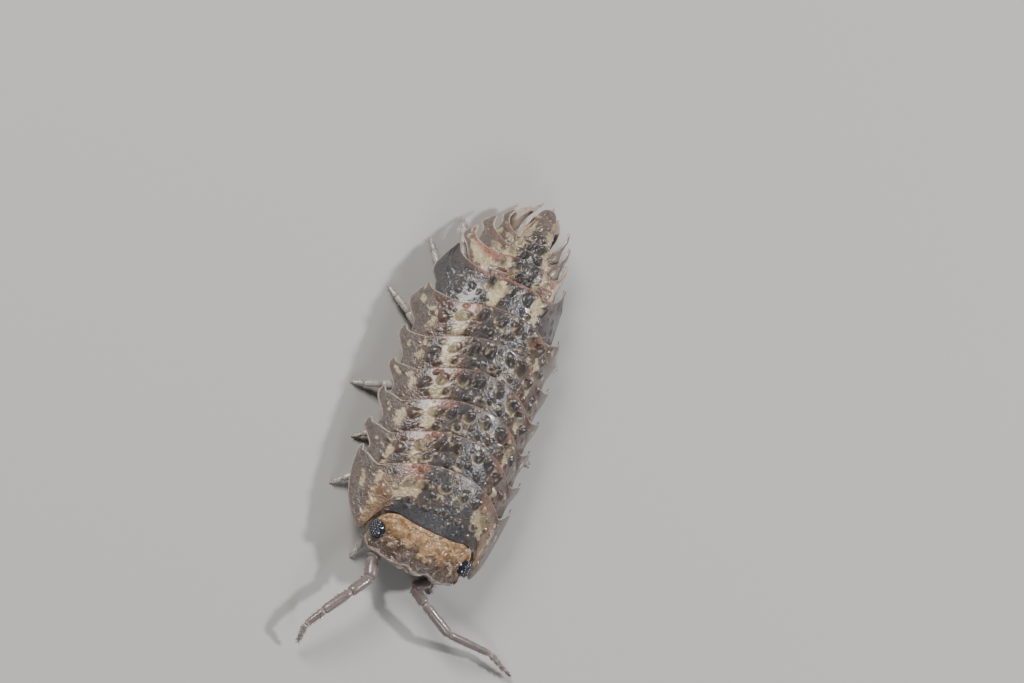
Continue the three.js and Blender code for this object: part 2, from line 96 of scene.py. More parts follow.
# %% Sizes of the back
BACK_HEIGHT = 2.5
HEAD_DROP, HEAD_DROP_FROM, HEAD_DROP_RUN = 0.95, -3, 3.1
TAIL_DROP, TAIL_DROP_FROM, TAIL_DROP_RUN = 1.5, 1.5, 4.7
EDGE_HEIGHT = 0.76
ARCH_POWER = 2.2
TAIL_SWING, TAIL_SWING_FROM = 0.055, 2.4
# Half width of the back at places along it
OUTLINE = np.array([[-6.2, 2.5], [-4.4, 2.56], [-2.3, 2.66], [0.5, 2.57], [1.6, 2.58], [2.3, 2.44],
                    [3, 2.28], [4.1, 1.84], [4.9, 1.56], [5.35, 1.34], [5.75, 1.08], [6.2, 0.8]])


def crest(y):
    """Height of the mid-line, which falls off towards the head and the tail."""
    front = np.maximum(0, (HEAD_DROP_FROM - y) / HEAD_DROP_RUN)
    rear = np.maximum(0, (y - TAIL_DROP_FROM) / TAIL_DROP_RUN)
    return BACK_HEIGHT - HEAD_DROP * front ** 2 - TAIL_DROP * rear ** 2


def arch(x, y):
    """Height of the back over any place."""
    side = np.minimum(1.05, np.abs(x) / np.interp(y, OUTLINE[:, 0], OUTLINE[:, 1]))
    top = crest(y)
    return top - (top - np.minimum(EDGE_HEIGHT, top - 0.1)) * side ** ARCH_POWER


def bend(y):
    """The tail swings gently to the animal's left."""
    return TAIL_SWING * np.maximum(0, y - TAIL_SWING_FROM) ** 2


def smooth(low, high, value):
    """A soft step from 0 at low to 1 at high. Where low is the larger one, it steps down."""
    t = np.clip((value - low) / (high - low), 0, 1)
    return t * t * (3 - 2 * t)


print("the back is", BACK_HEIGHT, "mm high and", 2 * OUTLINE[:, 1].max(), "mm wide")

# %% [markdown]
# ## Margins
# The outline of a plate is two lines from the mid-line to the tip of its side lobe: the front
# margin and the rear margin. A few named places fix each one, and a smooth curve runs through.

# %% Curves through named places
CURVE_STEPS = 40
MARGIN_POINTS = 400


def margin(places):
    """Evenly spaced points on a smooth curve through the places."""
    p = np.array(places, float)
    p = np.vstack([2 * p[0] - p[1], p, 2 * p[-1] - p[-2]])
    out = []
    for i in range(1, len(p) - 2):
        knots = [0.0]
        for k in range(3):
            knots.append(knots[-1] + max(1e-6, np.linalg.norm(p[i + k] - p[i + k - 1])) ** 0.5)
        t = np.linspace(knots[1], knots[2], CURVE_STEPS, endpoint=False)[:, None]
        a = [((knots[k + 1] - t) * p[i - 1 + k] + (t - knots[k]) * p[i + k]) / (knots[k + 1] - knots[k])
             for k in range(3)]
        b = [((knots[k + 2] - t) * a[k] + (t - knots[k]) * a[k + 1]) / (knots[k + 2] - knots[k])
             for k in range(2)]
        out.append(((knots[2] - t) * b[0] + (t - knots[1]) * b[1]) / (knots[2] - knots[1]))
    line = np.vstack(out + [p[-2][None]])
    reach = np.concatenate([[0], np.cumsum(np.linalg.norm(np.diff(line, axis=0), axis=1))])
    even = np.linspace(0, reach[-1], MARGIN_POINTS)
    return np.stack([np.interp(even, reach, line[:, 0]), np.interp(even, reach, line[:, 1])], 1)


def along(line, t):
    """The place at shares t of the way along a margin."""
    s = np.linspace(0, 1, len(line))
    return np.interp(t, s, line[:, 0]), np.interp(t, s, line[:, 1])


print("a margin has", MARGIN_POINTS, "points")

# %% [markdown]
# ## Places of the plates
# Seven plates carry the legs and five short ones follow on the tail. Here hind is a plate's rear
# margin on the mid-line, and notch is where that margin turns back to run along the side lobe,
# through lobe to tip, the lobe's point. The lobe's outer edge comes out from under the plate in
# front at flank and runs back through outer to the tip.

# %% Plates of the back
PEREONITES = [
    dict(hind=-3.15, notch=(2.1, -3.58), lobe=(2.4, -3.26), tip=(2.57, -3.0), outer=(2.6, -3.75)),
    dict(hind=-2.08, notch=(2.07, -2.57), lobe=(2.38, -2.36), tip=(2.61, -2.13), flank=(2.42, -2.98),
         outer=(2.66, -2.42)),
    dict(hind=-1.05, notch=(2.05, -1.53), lobe=(2.32, -1.34), tip=(2.54, -1.12), flank=(2.36, -2.08),
         outer=(2.58, -1.45)),
    dict(hind=-0.02, notch=(1.98, -0.49), lobe=(2.3, -0.37), tip=(2.51, -0.19), flank=(2.34, -1.05),
         outer=(2.56, -0.48)),
    dict(hind=1.0, notch=(1.9, 0.58), lobe=(2.28, 0.65), tip=(2.5, 0.88), flank=(2.36, -0.06),
         outer=(2.56, 0.55)),
    dict(hind=2.02, notch=(1.5, 1.84), lobe=(2.0, 2.04), tip=(2.28, 2.34), flank=(2.34, 0.97),
         outer=(2.57, 1.65)),
    dict(hind=3.02, notch=(0.95, 2.98), lobe=(1.5, 3.26), tip=(1.84, 3.92), flank=(2.13, 2.42),
         outer=(2.24, 2.85)),
]
# The five tail segments, of which the first two are short strips without side lobes
PLEONITES = [
    dict(hind=3.18, side=0.95),
    dict(hind=3.33, side=1.05),
    dict(hind=3.84, notch=(0.95, 3.72), lobe=(1.4, 4.06), tip=(1.6, 4.68), flank=(1.66, 3.85),
         outer=(1.8, 4.28)),
    dict(hind=4.2, notch=(0.75, 4.16), lobe=(1.1, 4.52), tip=(1.3, 5.2), flank=(1.44, 4.6),
         outer=(1.52, 4.85)),
    dict(hind=4.56, notch=(0.6, 4.56), lobe=(0.88, 4.9), tip=(0.95, 5.6), flank=(1.1, 5.0),
         outer=(1.14, 5.3)),
]
# Plates are counted from 0 in each row, and the last plate of the tail follows the five short ones
LAST_BACK_PLATE = len(PEREONITES) - 1
FIRST_TAIL_LOBES = 2
LAST_TAIL_PLATE = len(PLEONITES)
print(len(PEREONITES), "leg-bearing plates and", len(PLEONITES), "tail plates")

# %% [markdown]
# ## Front and rear margins
# The plates overlap like tiles, so a plate's front is made from the rear of the plate before it.
# Each rear is moved back by a small lap and each front is tucked forward, so that no light comes
# through between two plates.

# %% Margins of a plate
LAP = 0.06
TUCK = -0.06


def middle_margin(seg, shift):
    """The rear margin between the mid-line and the notch, moved along the body."""
    nx, ny = seg["notch"]
    return [(nx * s, seg["hind"] + shift + (ny - seg["hind"]) * s * s) for s in (0, 0.3, 0.6, 0.85)]


def hind_line(seg):
    """The rear margin, from the mid-line through the notch to the tip of the lobe."""
    (nx, ny), (lx, ly), (tx, ty) = seg["notch"], seg["lobe"], seg["tip"]
    bow = ((lx + tx) / 2 + 0.09 * (ty - ly), (ly + ty) / 2 - 0.05)
    inner_edge = [(nx, ny + LAP * 0.8), (lx, ly), bow, (tx - 0.035, ty - 0.03), (tx, ty)]
    return margin(middle_margin(seg, LAP) + inner_edge)


def outer_edge(seg):
    """The outer edge of a lobe. The place before its end is pushed out, so that the end is round."""
    (ox, oy), (tx, ty) = seg["outer"], seg["tip"]
    shoulder = (0.45 * ox + 0.55 * tx + 0.03, 0.45 * oy + 0.55 * ty)
    return [seg["flank"], (ox, oy), shoulder, (tx + 0.012, ty - 0.03), (tx, ty)]


def next_front(before, seg):
    """The front margin of a plate that comes out from under the lobe of the plate before it."""
    (nx, ny), (lx, ly) = before["notch"], before["lobe"]
    hidden = middle_margin(before, TUCK) + [(nx, ny - 0.03), (lx + 0.02, ly - 0.05)]
    return margin(hidden + outer_edge(seg))


def first_front(seg):
    """The front margin of the first plate, with the arms that reach forward beside the head."""
    tx, ty = seg["tip"]
    arm = [(0, -4.93), (0.7, -4.88), (1.3, -4.76), (1.66, -4.86), (1.83, -5.2), (1.89, -5.46),
           (1.97, -5.5), (2.12, -5.32), (2.34, -4.93), (2.5, -4.45)]
    return margin(arm + [seg["outer"], (tx + 0.04, ty - 0.2), (tx + 0.025, ty - 0.03), (tx, ty)])


print("plates lap by", LAP - TUCK, "mm on the mid-line")

# %% [markdown]
# ## A plate from a grid
# A flat grid of squares is the easiest start for a plate: one direction of the grid becomes the
# way across the back and the other the way from front to rear. A copy of the grid turned over
# and joined along its rim makes it a closed shell, and then each point is put on the arch.
# Modelling each plate by hand would take longer and its squares would be less even.

# %% Grid slab
def grid_slab(columns, rows):
    """A closed flat slab of squares between z = 0 and z = -1, from bmesh operators."""
    bm = bmesh.new()
    top = bmesh.ops.create_grid(bm, x_segments=columns, y_segments=rows, size=1.0)["verts"]
    faces = list(bm.faces)
    copy = bmesh.ops.duplicate(bm, geom=faces + list(bm.edges) + top)["geom"]
    under = [g for g in copy if isinstance(g, bmesh.types.BMVert)]
    under_faces = [g for g in copy if isinstance(g, bmesh.types.BMFace)]
    bmesh.ops.translate(bm, verts=under, vec=(0, 0, -1))
    bmesh.ops.reverse_faces(bm, faces=under_faces)
    bmesh.ops.bridge_loops(bm, edges=[e for e in bm.edges if e.is_boundary])
    bmesh.ops.recalc_face_normals(bm, faces=bm.faces)
    return bm


def finish_piece(name, bm, nodes, material):
    """Write a bmesh to an object at the origin that rides on the body and stands for its nodes."""
    mesh = bpy.data.meshes.new(name)
    bm.to_mesh(mesh)
    bm.free()
    mesh.materials.append(material)
    mesh.polygons.foreach_set("use_smooth", np.ones(len(mesh.polygons), bool))
    obj = bpy.data.objects.new(name, mesh)
    bpy.context.scene.collection.objects.link(obj)
    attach(obj, "root")
    if nodes:
        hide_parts(*nodes)
    return obj


def grid_shares(mesh):
    """Each point's share across (-1 to 1) and back (0 to 1), and whether it is on the top side."""
    co = np.empty(len(mesh.vertices) * 3)
    mesh.vertices.foreach_get("co", co)
    co = co.reshape(-1, 3)
    return co[:, 0], (co[:, 1] + 1) / 2, co[:, 2] > -0.5


def between(front, hind, u, v):
    """The places between two margins, and the distance from one to the other there."""
    fx, fy = along(front, np.abs(u))
    hx, hy = along(hind, np.abs(u))
    return (fx + (hx - fx) * v) * np.sign(u), fy + (hy - fy) * v, np.hypot(hx - fx, hy - fy)


def place_points(mesh, x, y, z):
    mesh.vertices.foreach_set("co", to_row(np.stack([x, y, z], 1)).ravel())
    mesh.update()


def write_attribute(mesh, name, values):
    layer = mesh.attributes.new(name, "FLOAT", "POINT")
    layer.data.foreach_set("value", np.asarray(values, np.float32))


print("grid helpers ready")

# %% [markdown]
# ## Knobs and granules
# The whole back is knobbly. Each plate has a row of blunt knobs near its rear edge, a lower row
# in front of them, and small granules all over. They are lifted out of the fine grid itself,
# so that each knob runs smoothly into the plate it grows from. A knob is given by its share of
# the half width, its share back, its height and its radius.

# %% Knob layout
KNOBS = [
    (0.12, 0.70, 0.24, 0.16), (0.31, 0.68, 0.32, 0.17), (0.49, 0.62, 0.24, 0.16),
    (0.66, 0.58, 0.09, 0.13), (0.20, 0.30, 0.13, 0.11), (0.42, 0.28, 0.12, 0.12),
    (0.59, 0.26, 0.05, 0.11), (0.04, 0.34, 0.11, 0.10),
]
TAIL_KNOBS = [(0.16, 0.55, 0.2, 0.11), (0.42, 0.6, 0.16, 0.1), (0.66, 0.5, 0.08, 0.08)]
LAST_PLATE_KNOBS = [(0.3, 0.25, 0.12, 0.08), (0.22, 0.5, 0.1, 0.07)]
KNOB_LEAN = 0.3
KNOB_STRAY_ACROSS, KNOB_STRAY_BACK = 0.025, 0.06
GRANULES, FIRST_PLATE_GRANULES, TAIL_GRANULES, LAST_PLATE_GRANULES = 170, 260, 60, 70
GRANULE_RADIUS = 0.055


def bumps(u, v, width, length, knobs, scale, count, rng):
    """Height of knobs and granules at each grid point, with masks of the knobs' tops and their feet."""
    height = np.zeros_like(u)
    top = np.zeros_like(u)
    foot = np.zeros_like(u)
    for across, back, h, r in knobs:
        for side in (-1, 1):
            cu = side * (across + KNOB_STRAY_ACROSS * rng.uniform(-1, 1))
            cv = back + KNOB_STRAY_BACK * rng.uniform(-1, 1)
            angle = rng.uniform(0, math.pi)
            du = (u - cu) * width
            dv = (v - cv) * length
            long = du * math.cos(angle) + dv * math.sin(angle)
            wide = dv * math.cos(angle) - du * math.sin(angle)
            d = np.hypot(long * rng.uniform(0.8, 0.95), wide * 1.1) / (r * rng.uniform(0.9, 1.15))
            shape = np.clip(1 - d * d, 0, 1) ** 0.8
            height = np.maximum(height, h * scale * rng.uniform(0.7, 1.1) * shape)
            dark = smooth(0.95, 0.5, d) * rng.uniform(0.2, 1.0) * smooth(0.66, 0.5, across)
            top = np.maximum(top, dark)
            ring = smooth(1.5, 1.15, d) * smooth(0.75, 1.0, d) * (dv < 0.0)
            foot = np.maximum(foot, ring * rng.uniform(0, 1.0) ** 2.5 * smooth(0.6, 0.4, across))
    for _ in range(count):
        cu = rng.uniform(-1, 1)
        cv = rng.uniform(0.05, 0.97)
        r = GRANULE_RADIUS * (0.55 + 1.5 * rng.uniform(0, 1) ** 3)
        d = np.hypot((u - cu) * width, (v - cv) * length) / r
        height = height + 0.5 * r * rng.uniform(0.5, 1.3) * np.clip(1 - d * d, 0, 1) ** 1.3
    return height, top, foot


print("each back plate has", 2 * len(KNOBS), "knobs and", GRANULES, "granules")

# %% [markdown]
# ## Finish of the horny plates
# Woodlouse horn is a thin, wet-looking, slightly see-through layer over pigment. Up close it is
# finely granular. One shared node group makes that grain: it takes a colour, breaks it up with
# fine noise, and puts out the colour with a matching roughness and a height for the bump. A
# group is better than copies of its nodes, since every finish of the animal uses it.

# %% Shared grain group
BLOTCHES, GRAINS, FINE_GRAINS, PITS = 3.2, 14, 42, 17
GRAIN_CONTRAST, BLOTCH_CONTRAST = 2.4, 1.7
BRIGHT_IS_DULLER = 0.25
ROUGHNESS_SPREAD = 0.22
PIT_DEPTH, GRAIN_DEPTH, FINE_DEPTH = 0.7, 0.5, 0.35


def horn_grain_group():
    """Colour and surface of the horn, from noises with the named number of spots to a millimetre."""
    group = bpy.data.node_groups.new("horn grain", "ShaderNodeTree")
    face = group.interface
    face.new_socket("Colour", in_out="INPUT", socket_type="NodeSocketColor")
    face.new_socket("Grain", in_out="INPUT", socket_type="NodeSocketFloat")
    face.new_socket("Gloss", in_out="INPUT", socket_type="NodeSocketFloat")
    face.new_socket("Colour", in_out="OUTPUT", socket_type="NodeSocketColor")
    face.new_socket("Roughness", in_out="OUTPUT", socket_type="NodeSocketFloat")
    face.new_socket("Height", in_out="OUTPUT", socket_type="NodeSocketFloat")
    nodes, links = group.nodes, group.links
    given = nodes.new("NodeGroupInput")
    out = nodes.new("NodeGroupOutput")
    place = nodes.new("ShaderNodeTexCoord")

    def noise_at(scale, detail):
        node = nodes.new("ShaderNodeTexNoise")
        node.inputs["Scale"].default_value = scale / MM
        node.inputs["Detail"].default_value = detail
        links.new(place.outputs["Object"], node.inputs["Vector"])
        return node

    def math_node(operation, a, b):
        node = nodes.new("ShaderNodeMath")
        node.operation = operation
        for socket, value in zip(node.inputs, (a, b)):
            if isinstance(value, (int, float)):
                socket.default_value = value
            else:
                links.new(value, socket)
        return node.outputs[0]

    blotch = noise_at(BLOTCHES, 5).outputs["Fac"]
    grain = noise_at(GRAINS, 3).outputs["Fac"]
    fine = noise_at(FINE_GRAINS, 2).outputs["Fac"]
    cell = nodes.new("ShaderNodeTexVoronoi")
    cell.inputs["Scale"].default_value = PITS / MM
    links.new(place.outputs["Object"], cell.inputs["Vector"])

    spread = math_node("MULTIPLY", math_node("SUBTRACT", grain, 0.5), GRAIN_CONTRAST)
    wide = math_node("MULTIPLY", math_node("SUBTRACT", blotch, 0.5), BLOTCH_CONTRAST)
    value = math_node("MULTIPLY", math_node("ADD", spread, wide), given.outputs["Grain"])
    duller = math_node("MULTIPLY", value, BRIGHT_IS_DULLER)
    tone = nodes.new("ShaderNodeHueSaturation")
    links.new(given.outputs["Colour"], tone.inputs["Color"])
    links.new(math_node("ADD", 1.0, value), tone.inputs["Value"])
    links.new(math_node("SUBTRACT", 1.0, duller), tone.inputs["Saturation"])
    links.new(tone.outputs["Color"], out.inputs["Colour"])

    unevenness = math_node("MULTIPLY", fine, ROUGHNESS_SPREAD)
    links.new(math_node("ADD", given.outputs["Gloss"], unevenness), out.inputs["Roughness"])
    pit = math_node("MULTIPLY", cell.outputs["Distance"], PIT_DEPTH)
    height = math_node("ADD", math_node("MULTIPLY", fine, FINE_DEPTH), pit)
    height = math_node("ADD", height, math_node("MULTIPLY", grain, GRAIN_DEPTH))
    links.new(height, out.inputs["Height"])
    return group


HORN_GRAIN = horn_grain_group()
print("shared group", HORN_GRAIN.name, "made")

# %% [markdown]
# ## From marks to materials
# The animal's pattern follows its anatomy: cream patches beside the mid-line, a salmon band along
# each rear edge, a slate middle, thin pale rims. Each mark is a mask stored on the piece's own
# points, and the material lays the colours over each other in order, through those masks. So
# the pattern follows the shape, which a picture wrapped round it would not do as well.

# %% Maker of finishes
PLATE_SURFACE = dict(bump=0.55, depth=0.025, coat_roughness=0.15, glow=(1.0, 0.55, 0.4), glow_reach=0.25)
LIMB_SURFACE = dict(bump=0.3, depth=0.01, coat_roughness=0.06, glow=(1.0, 0.6, 0.45), glow_reach=0.2)


def horny_finish(name, base, layers, surface, gloss, coat=0.0, subsurface=0.0, grain=0.3):
    """A grained base colour, with each layer's colour laid over it through the mask of that name."""
    material = bpy.data.materials.new(name)
    material.use_nodes = True
    nodes, links = material.node_tree.nodes, material.node_tree.links
    shader = nodes["Principled BSDF"]
    group = nodes.new("ShaderNodeGroup")
    group.node_tree = HORN_GRAIN
    group.inputs["Colour"].default_value = (*base, 1)
    group.inputs["Grain"].default_value = grain
    group.inputs["Gloss"].default_value = gloss
    below = None
    for mask, colour in layers.items():
        reader = nodes.new("ShaderNodeAttribute")
        reader.attribute_name = mask
        mix = nodes.new("ShaderNodeMix")
        mix.data_type = "RGBA"
        links.new(reader.outputs["Fac"], mix.inputs["Factor"])
        mix.inputs["A"].default_value = (*base, 1)
        mix.inputs["B"].default_value = (*colour, 1)
        if below:
            links.new(below, mix.inputs["A"])
        below = mix.outputs["Result"]
    if below:
        links.new(below, group.inputs["Colour"])
    links.new(group.outputs["Colour"], shader.inputs["Base Color"])
    links.new(group.outputs["Roughness"], shader.inputs["Roughness"])
    bump = nodes.new("ShaderNodeBump")
    bump.inputs["Strength"].default_value = surface["bump"]
    bump.inputs["Distance"].default_value = surface["depth"] * MM
    links.new(group.outputs["Height"], bump.inputs["Height"])
    links.new(bump.outputs["Normal"], shader.inputs["Normal"])
    shader.inputs["Coat Weight"].default_value = coat
    shader.inputs["Coat Roughness"].default_value = surface["coat_roughness"]
    shader.inputs["Subsurface Weight"].default_value = subsurface
    shader.inputs["Subsurface Radius"].default_value = surface["glow"]
    shader.inputs["Subsurface Scale"].default_value = surface["glow_reach"] * MM
    return material


# %% Finishes of the plates
MARKS = {
    "lobe": (0.120, 0.096, 0.084), "slate": (0.050, 0.047, 0.050), "brown": (0.085, 0.048, 0.034),
    "cream": (0.47, 0.38, 0.23), "salmon": (0.27, 0.118, 0.082), "amber": (0.33, 0.19, 0.085),
    "knob": (0.040, 0.032, 0.030), "rim": (0.42, 0.35, 0.30),
}
plate_finish = partial(horny_finish, layers=MARKS, surface=PLATE_SURFACE, gloss=0.2, coat=0.32,
                       subsurface=0.12)
back_horn = plate_finish("back horn", (0.098, 0.066, 0.050), grain=0.55)
tail_horn = plate_finish("tail horn", (0.12, 0.08, 0.065), grain=0.55)
head_horn = plate_finish("head horn", (0.155, 0.090, 0.048), grain=0.6)
print("plate finishes have the marks", list(MARKS))

# %% [markdown]
# ## Marks of a back plate
# Each mark has a place as shares of the half width and of the plate's length. Most start as a
# soft hill, to which a seeded random pattern is added before it is cut off at half its height,
# so that its border is ragged and no mark is a clean oval.

# %% Ragged marks
MOTTLE_TABLE = 97
MOTTLE_GAIN = 1.8


def mottle(x, y, size, rng, octaves=4):
    """A random pattern between about -1 and 1, with blotches of the given size and finer ones."""
    total, weight, reach = np.zeros_like(x), 0.0, 1.0
    for _ in range(octaves):
        table = rng.uniform(-1, 1, (MOTTLE_TABLE, MOTTLE_TABLE))
        # The shift keeps the pattern's squares off the mid-line
        px, py = x / size + 41.3, y / size + 37.7
        ix, iy = np.floor(px).astype(int), np.floor(py).astype(int)
        tx, ty = smooth(0, 1, px - ix), smooth(0, 1, py - iy)
        here, right = ix % MOTTLE_TABLE, (ix + 1) % MOTTLE_TABLE
        row, next_row = iy % MOTTLE_TABLE, (iy + 1) % MOTTLE_TABLE
        near = table[here, row] * (1 - tx) + table[right, row] * tx
        far = table[here, next_row] * (1 - tx) + table[right, next_row] * tx
        total += reach * (near * (1 - ty) + far * ty)
        weight += reach
        size, reach = size * 0.5, reach * 0.62
    return total / weight * MOTTLE_GAIN


def zone(a, v, ca, cv, ra, rv):
    """A soft hill with its middle at share ca across and cv back."""
    return np.exp(-((a - ca) / ra) ** 2 - ((v - cv) / rv) ** 2)


def ragged(field, pattern, edge=0.13):
    """Turn a soft field into a mark with a ragged border."""
    return smooth(-edge, edge, field - 0.5 + 0.42 * pattern)


print("ragged marks ready")

# %% Marks of the leg-bearing plates
def back_marks(n, a, v, x, y, rng):
    """Masks of plate n, where a is the signed share of the half width and v the share back."""
    wide, fine = mottle(x, y, 0.34, rng), mottle(x, y, 0.16, rng)
    aa = np.abs(a) + 0.02 * wide
    # Painted shade: pale and salmon marks are duller on the animal's left side, the side away from the key
    # lamp
    painted_shade = 1 - 0.35 * smooth(0.2, 0.6, a)
    lobe = smooth(0.70, 0.84, aa)
    slate = smooth(0.42, 0.28, aa) * (0.45 + 0.5 * ragged(0.55, wide))
    slate = np.maximum(slate, 0.9 * ragged(zone(aa, v, 0.64, 0.5, 0.045, 0.5), fine))
    brown = 0.7 * ragged(0.5 * smooth(0.2, 0.4, aa) * smooth(0.86, 0.74, aa), wide)
    pale = 1.1 * zone(aa, v, 0.51, 0.5, 0.075, 0.42) + 0.75 * zone(aa, v, 0.745, 0.5, 0.05, 0.4)
    pale = pale + 0.85 * zone(aa, v, 0.86, 0.42, 0.03, 0.16) + 0.27 * smooth(0.42, 0.2, aa)
    cream = 0.85 * ragged(pale * painted_shade - 0.06, fine)
    salmon = smooth(0.78, 0.9, v) * smooth(0.3, 0.4, aa) * smooth(0.66, 0.56, aa) * (0.45 + 0.35 * wide)
    salmon = painted_shade * np.maximum(salmon, 0.5 * ragged(0.62 * zone(aa, v, 0.45, 0.8, 0.14, 0.3), wide))
    salmon = np.maximum(salmon, 0.12 * smooth(0.9, 0.97, v) * smooth(0.85, 0.7, aa))
    amber = np.zeros_like(a)
    if n == 0:
        front = smooth(0.36, 0.22, v + 0.04 * fine) * smooth(0.64, 0.52, aa)
        front = front * ragged(0.8, wide)
        slate = np.maximum(slate, front)
        brown = brown * (1 - front)
        cream = cream * (1 - front)
        amber = 0.35 * ragged(zone(aa, v, 0.66, 0.42, 0.12, 0.4), wide)
        cream = np.maximum(cream, 0.8 * ragged(zone(aa, v, 0.44, 0.5, 0.1, 0.2), fine))
    if n == LAST_BACK_PLATE:
        slate = np.maximum(slate, 0.92 * smooth(0.3, 0.37, aa) * smooth(0.86, 0.78, aa))
        brown = brown * 0.2
        cream = cream * smooth(0.37, 0.31, aa)
        cream = np.maximum(cream, 0.95 * ragged(1.25 * zone(aa, v, 0.25, 0.5, 0.075, 0.42), fine))
        salmon = np.maximum(salmon * 0.25, 0.6 * smooth(0.88, 0.96, v) * smooth(0.6, 0.5, aa))
    return dict(lobe=lobe, slate=slate, brown=brown, cream=cream, salmon=salmon, amber=amber)


print("marks of", len(PEREONITES), "leg-bearing plates ready")

# %% Marks of the tail plates
def tail_marks(n, a, v, x, y, rng):
    """Masks of tail plate n, made like those of the back, with a dark middle and paler lobes."""
    wide, fine = mottle(x, y, 0.25, rng), mottle(x, y, 0.12, rng)
    aa = np.abs(a) + 0.02 * wide
    lobe = smooth(0.45, 0.7, aa) * 0.95
    slate = 0.85 * ragged(smooth(0.55, 0.2, aa), wide)
    brown = 0.6 * ragged(0.45 * smooth(0.2, 0.5, aa), fine)
    cream = 0.8 * ragged(zone(aa, v, 0.4, 0.5, 0.12, 0.4) + 0.15, fine)
    salmon = 0.55 * smooth(0.62, 0.9, v) * smooth(0.2, 0.4, aa)
    if n == FIRST_TAIL_LOBES:
        cream = np.maximum(cream, 0.95 * ragged(1.2 * zone(aa, v, 0.72, 0.5, 0.24, 0.3), fine))
        ends = smooth(0.5, 0.78, np.maximum(v, 0.9 - v * 3))
        salmon = np.maximum(salmon, 0.85 * ends * smooth(0.4, 0.55, aa))
    if n > FIRST_TAIL_LOBES:
        cream = np.maximum(cream, 0.5 * ragged(zone(aa, v, 0.66, 0.5, 0.12, 0.22), fine))
        salmon = 0.5 * salmon
    if n < FIRST_TAIL_LOBES:
        salmon = np.maximum(salmon, 0.3 * smooth(0.4, 0.7, aa))
    if n == LAST_TAIL_PLATE:
        lobe = 0.8 * smooth(0.25, 0.5, v)
        slate = slate * smooth(0.5, 0.2, v)
        cream = cream * 0.6
    return dict(lobe=lobe, slate=slate, brown=brown, cream=cream, salmon=salmon, amber=np.zeros_like(a))


print("marks of", LAST_TAIL_PLATE + 1, "tail plates ready")

# %% [markdown]
# ## Shaping a plate
# The grid's points are put between the two margins and lifted to the arch. The rear edge rides a
# little higher than the front of the next plate, and the plate is thinnest along its rim. In the
# photographed pose the lobes on the animal's left side stand up more, so they are curled.

# %% Plate maker
PLATE_THICK, PLATE_RIM = 0.13, 0.045
PLATE_BULGE = 0.03
PLATE_TILT, PLATE_TILT_AT = 0.14, 0.6
RIM_ROUNDING = 0.012
SLOPE_STEP = 0.02


def outward(x, y):
    """The direction that points straight out of the arch at a place."""
    dx = (arch(x + SLOPE_STEP, y) - arch(x - SLOPE_STEP, y)) / (2 * SLOPE_STEP)
    dy = (arch(x, y + SLOPE_STEP) - arch(x, y - SLOPE_STEP)) / (2 * SLOPE_STEP)
    n = np.stack([-dx, -dy, np.ones_like(dx)], 1)
    return n / np.linalg.norm(n, axis=1, keepdims=True)


def make_plate(name, front, hind, grid, width, length, knobs, knob_scale, granules, marks, rim_glow,
               free_from, material, seed, curl=0.0):
    """A plate between two margins. Its front rim is free where the share across is past free_from."""
    rng = np.random.default_rng(seed)
    obj = finish_piece(name, grid_slab(*grid), [name.replace("plate_", "")], material)
    mesh = obj.data
    u, v, top = grid_shares(mesh)
    t = np.abs(u)
    x, y, span = between(front, hind, u, v)
    tilt = PLATE_TILT * (v - PLATE_TILT_AT) * (1 - 0.4 * t)
    z = arch(x, y) + tilt + PLATE_BULGE * np.sin(np.pi * v) + curl * smooth(0.6, 1.0, t) * (x > 0)
    a = x / width

    height, tips, feet = bumps(a, v, width, length, knobs, knob_scale, granules, rng)
    fade = smooth(0.0, 0.06, 1 - v) * smooth(0.0, 0.1, v)
    fade = fade * (0.15 + 0.85 * smooth(0.9, 0.7, np.abs(a))) * smooth(1.0, 0.97, t)
    free = np.minimum((1 - v) * span, np.where(t > free_from, v * span, 9.0))
    edge = np.minimum(np.minimum(v, 1 - v) * span, (1 - t) * width)
    thick = PLATE_RIM + (PLATE_THICK - PLATE_RIM) * smooth(0.0, 0.3, edge)
    normal = outward(x, y)
    base = np.stack([x, y, z], 1)
    lean = normal + np.array([0, KNOB_LEAN, 0]) * smooth(0.05, 0.15, height)[:, None]
    rounding = normal * RIM_ROUNDING * smooth(0.05, 0.0, free)[:, None]
    raised = base + lean * (height * fade)[:, None] - rounding
    placed = np.where(top[:, None], raised, base - normal * thick[:, None])
    place_points(mesh, placed[:, 0] + bend(placed[:, 1]), placed[:, 1], placed[:, 2])

    masks = marks(a, v, x, y, rng)
    masks["cream"] = np.maximum(masks["cream"], feet * 0.75)
    masks["knob"] = tips * 0.85
    masks["rim"] = smooth(0.04, 0.016, free) * (0.22 + rim_glow * smooth(0.5, 0.8, t))
    for mark in MARKS:
        write_attribute(mesh, mark, np.clip(masks[mark], 0, 1))


print("a plate is", PLATE_THICK, "mm thick and", PLATE_RIM, "mm at its rim")

# %% The seven leg-bearing plates
BACK_CURL = 0.34
for n, seg in enumerate(PEREONITES):
    first = n == 0
    last = n == LAST_BACK_PLATE
    make_plate(f"plate_pereonite_{n + 1}", first_front(seg) if first else next_front(PEREONITES[n - 1], seg),
               hind_line(seg), grid=(250, 100 if first else 66), width=2.7, length=1.8 if first else 1.05,
               knobs=KNOBS[:2] + KNOBS[4:5] if last else KNOBS, knob_scale=0.88 + 0.03 * n,
               granules=FIRST_PLATE_GRANULES if first else GRANULES, marks=partial(back_marks, n),
               rim_glow=0.5, free_from=0.43 if first else 0.6, material=back_horn,
               seed=20 + n, curl=BACK_CURL)
print("leg-bearing plates made")

# %% [markdown]
# ## The tail's plates
# The first two are short strips that show only in the middle. The other three have lobes that
# reach back, and the first of these comes out from beside the strips, so its front is given
# place by place. The last plate is a triangle with a long point.

# %% The five tail plates
TAIL_CURL = 0.22


